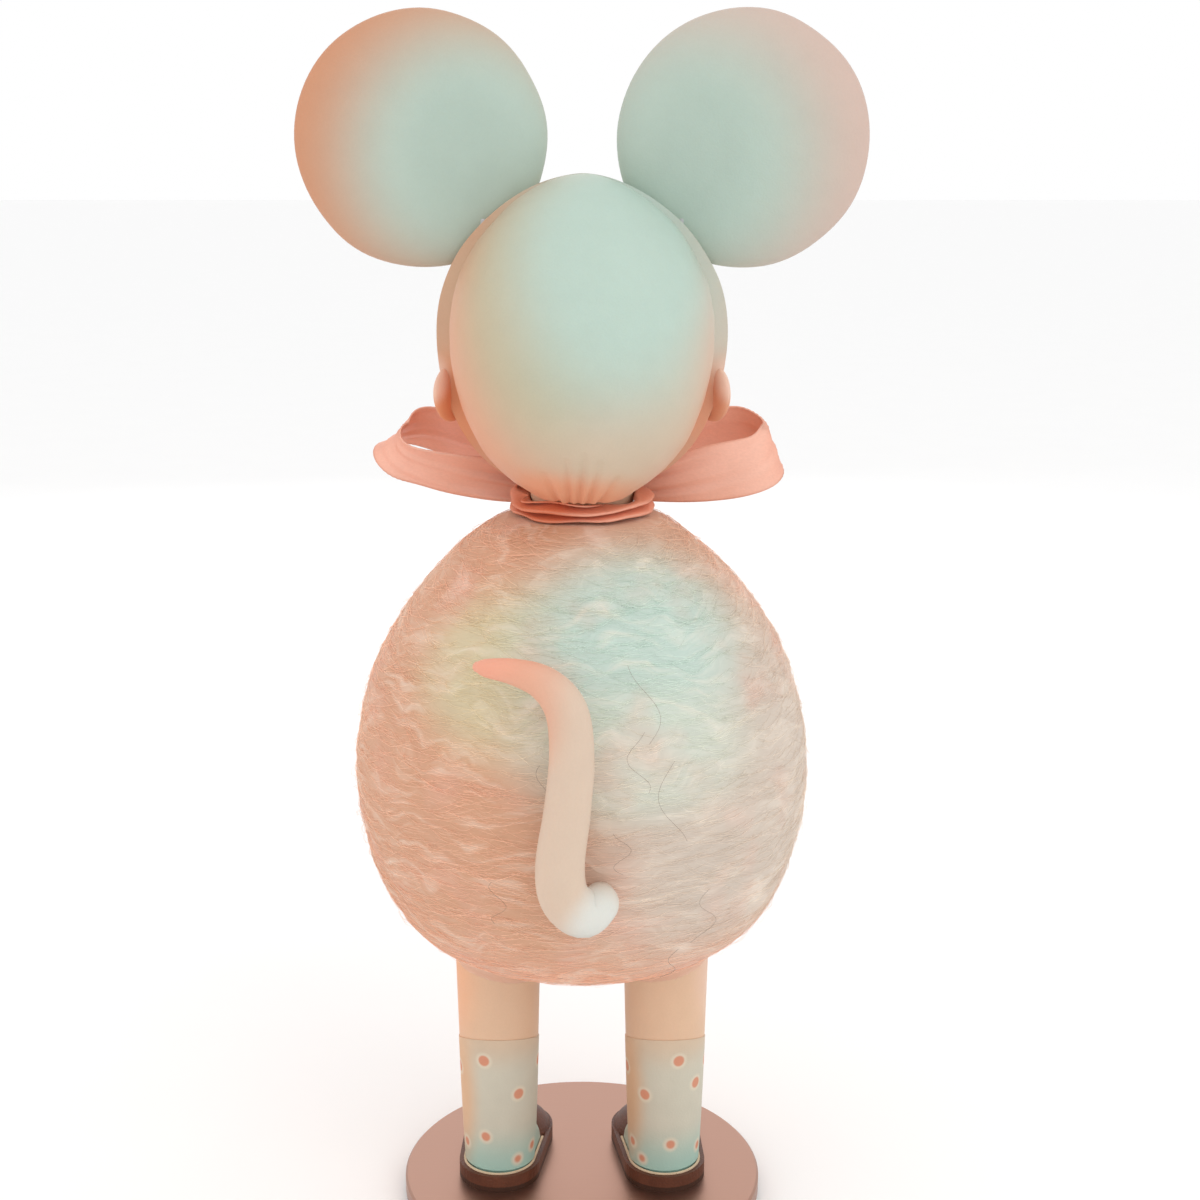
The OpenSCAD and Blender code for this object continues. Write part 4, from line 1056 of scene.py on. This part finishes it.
# %% Bow loops and ends
knot_low_corner, knot_high_corner = box_mm("ribbon_knot")
knot = (knot_low_corner + knot_high_corner) / 2
knot_y = knot.y + 0.9
start = knot_high_corner.x - 1.2
reach = 35 - start
LEFT_LOOP = [
    (0, -0.3, 0, 3.6, 0, 0.1, 1), (0.27, -4.1, 3.2, 8.2, 0, 0.3, 1),
    (0.62, -4.9, 7.5, RIBBON_W, -0.2, 0.7, 1), (0.86, -3.4, 10, RIBBON_W, -0.5, 0.8, 1),
    (1, 0.6, 8.6, RIBBON_W, -0.75, 0.8, 0.6),
    (0.93, 4.9, 5.2, RIBBON_W, -0.5, 0.9, 0.8), (0.66, 5.6, 2.8, RIBBON_W, -0.15, 0.75, 1),
    (0.27, 2.7, 0.5, 7, 0, 0.2, 1), (0, 1.1, 0, 3.6, 0, 0.1, 1),
]
RIGHT_LOOP = [
    (0, -0.3, 0, 3.6, 0, 0.1, 1), (0.27, -4.1, 3.2, 8.2, 0, 0.2, 1),
    (0.62, -4.9, 7.3, RIBBON_W, -0.25, 0.4, 1), (0.86, -3.2, 9.6, RIBBON_W, -0.5, 0.4, 1),
    (1, 1, 7.4, RIBBON_W, -0.42, 0.2, 1),
    (0.92, 5.4, 4.6, RIBBON_W, -0.35, 0.05, 1), (0.64, 5.6, 2.6, RIBBON_W, -0.15, 0.1, 1),
    (0.27, 2.7, 0.5, 7, 0, 0.1, 1), (0, 1.1, 0, 3.6, 0, 0.1, 1),
]
for side, word in ((1, "left"), (-1, "right")):
    rows = [[side * (start + x * reach), knot_y + y, knot.z + z, w, side * wx, wy, wz]
            for x, y, z, w, wx, wy, wz in (LEFT_LOOP if side > 0 else RIGHT_LOOP)]
    ribbon(word + "_loop_cloth", rows, [word + "_bow_loop"], 0.45, 0.5, 1.7 * side)
    rows = [[side * 1.6, knot_y - 0.4, knot_low_corner.z - 0.8, 2.8, side, 0.1, 0]]
    for drop in (4, 10, 18, 26, 32):
        point = on_coat(5 + 0.42 * drop, knot_low_corner.z - 0.8 - drop, 1.9)
        wide = 4 + 0.2 * drop
        rows.append([side * max(point.x, wide / 2 + CLEAR), point.y, point.z, wide, side, 0.25, 0.15])
    ribbon(word + "_end_cloth", rows, [word + "_bow_end"], 0.3, 0.3, 2.9 * side)

# %% [markdown]
# The knot is the same ribbon wrapped once round the gathered middle, and the collar is the ribbon pulled
# into soft pleats round the neck. A pleat is a wave across the ribbon's width that turns round the neck.

# %% Knot and collar
rows = []
KNOT_DEEP, KNOT_TALL = 2.6, 2.1
for i in range(13):
    a = math.tau * i / 12
    rows.append([0, knot.y + 0.4 + KNOT_DEEP * math.cos(a), knot.z + KNOT_TALL * math.sin(a), 5.6, 1, 0, 0])
ribbon("knot_cloth", rows, ["ribbon_knot"], 0.36, -0.3, 0.4, steps=5)

NECK_RING, COLLAR_TALL, COLLAR_TILT = 11.2, 3.3, math.radians(3)
collar_low, collar_high = box_mm("ribbon_collar")
collar_mid = (collar_low.z + collar_high.z) / 2
bm = bmesh.new()
last = bmesh.ops.create_vert(bm, co=(0, NECK_RING, -COLLAR_TALL / 2))["vert"]
for _ in range(18):
    last = bmesh.ops.extrude_vert_indiv(bm, verts=last)["verts"]
    bmesh.ops.translate(bm, vec=(0, 0, COLLAR_TALL / 18), verts=last)
bmesh.ops.spin(bm, geom=bm.verts[:] + bm.edges[:], cent=(0, 0, 0), axis=(0, 0, 1), angle=math.tau, steps=144,
               use_merge=True)
for vert in bm.verts:
    turn = math.atan2(vert.co.x, vert.co.y)
    share = vert.co.z / COLLAR_TALL
    pleat = math.sin(share * 10.5 + 1.9 * math.sin(2 * turn + 0.6) + 0.9 * math.sin(5 * turn + 2))
    crumple = noise.noise(Vector((4 * math.cos(turn), 4 * math.sin(turn), share * 3)))
    r = NECK_RING + 1.6 * pleat + 0.25 * crumple
    z = vert.co.z * (0.86 + 0.14 * math.sin(4 * turn)) + 0.3 * math.sin(3 * turn + 1)
    z += r * math.cos(turn) * -math.sin(COLLAR_TILT)
    vert.co = Vector((r * math.sin(turn), r * math.cos(turn), collar_mid + z))
collar = to_object(bm, "collar_cloth", "doll", satin_mat, ["ribbon_collar"])
thicken(collar)

# %% [markdown]
# ## Floor
# The doll stands on a plain white sheet of paper, wide enough to fill the view behind it.

# %% Floor
floor_mat, floor_tree, floor_shader, floor_place = start_material("white paper", 0.85)
floor_tone = stretched_noise(floor_tree, floor_place, 30)
floor_tree.links.new(vary(floor_tree, srgb("#FAFAFA"), floor_tone, 0.01), floor_shader.inputs["Base Color"])
bm = bmesh.new()
bmesh.ops.create_grid(bm, x_segments=1, y_segments=1, size=6.0)
floor_mesh = bpy.data.meshes.new("floor")
bm.to_mesh(floor_mesh)
bm.free()
floor_mesh.materials.append(floor_mat)
floor = bpy.data.objects.new("floor", floor_mesh)
bpy.context.scene.collection.objects.link(floor)
print("floor laid")

# %% [markdown]
# ## End

# %% End
print("scene built")
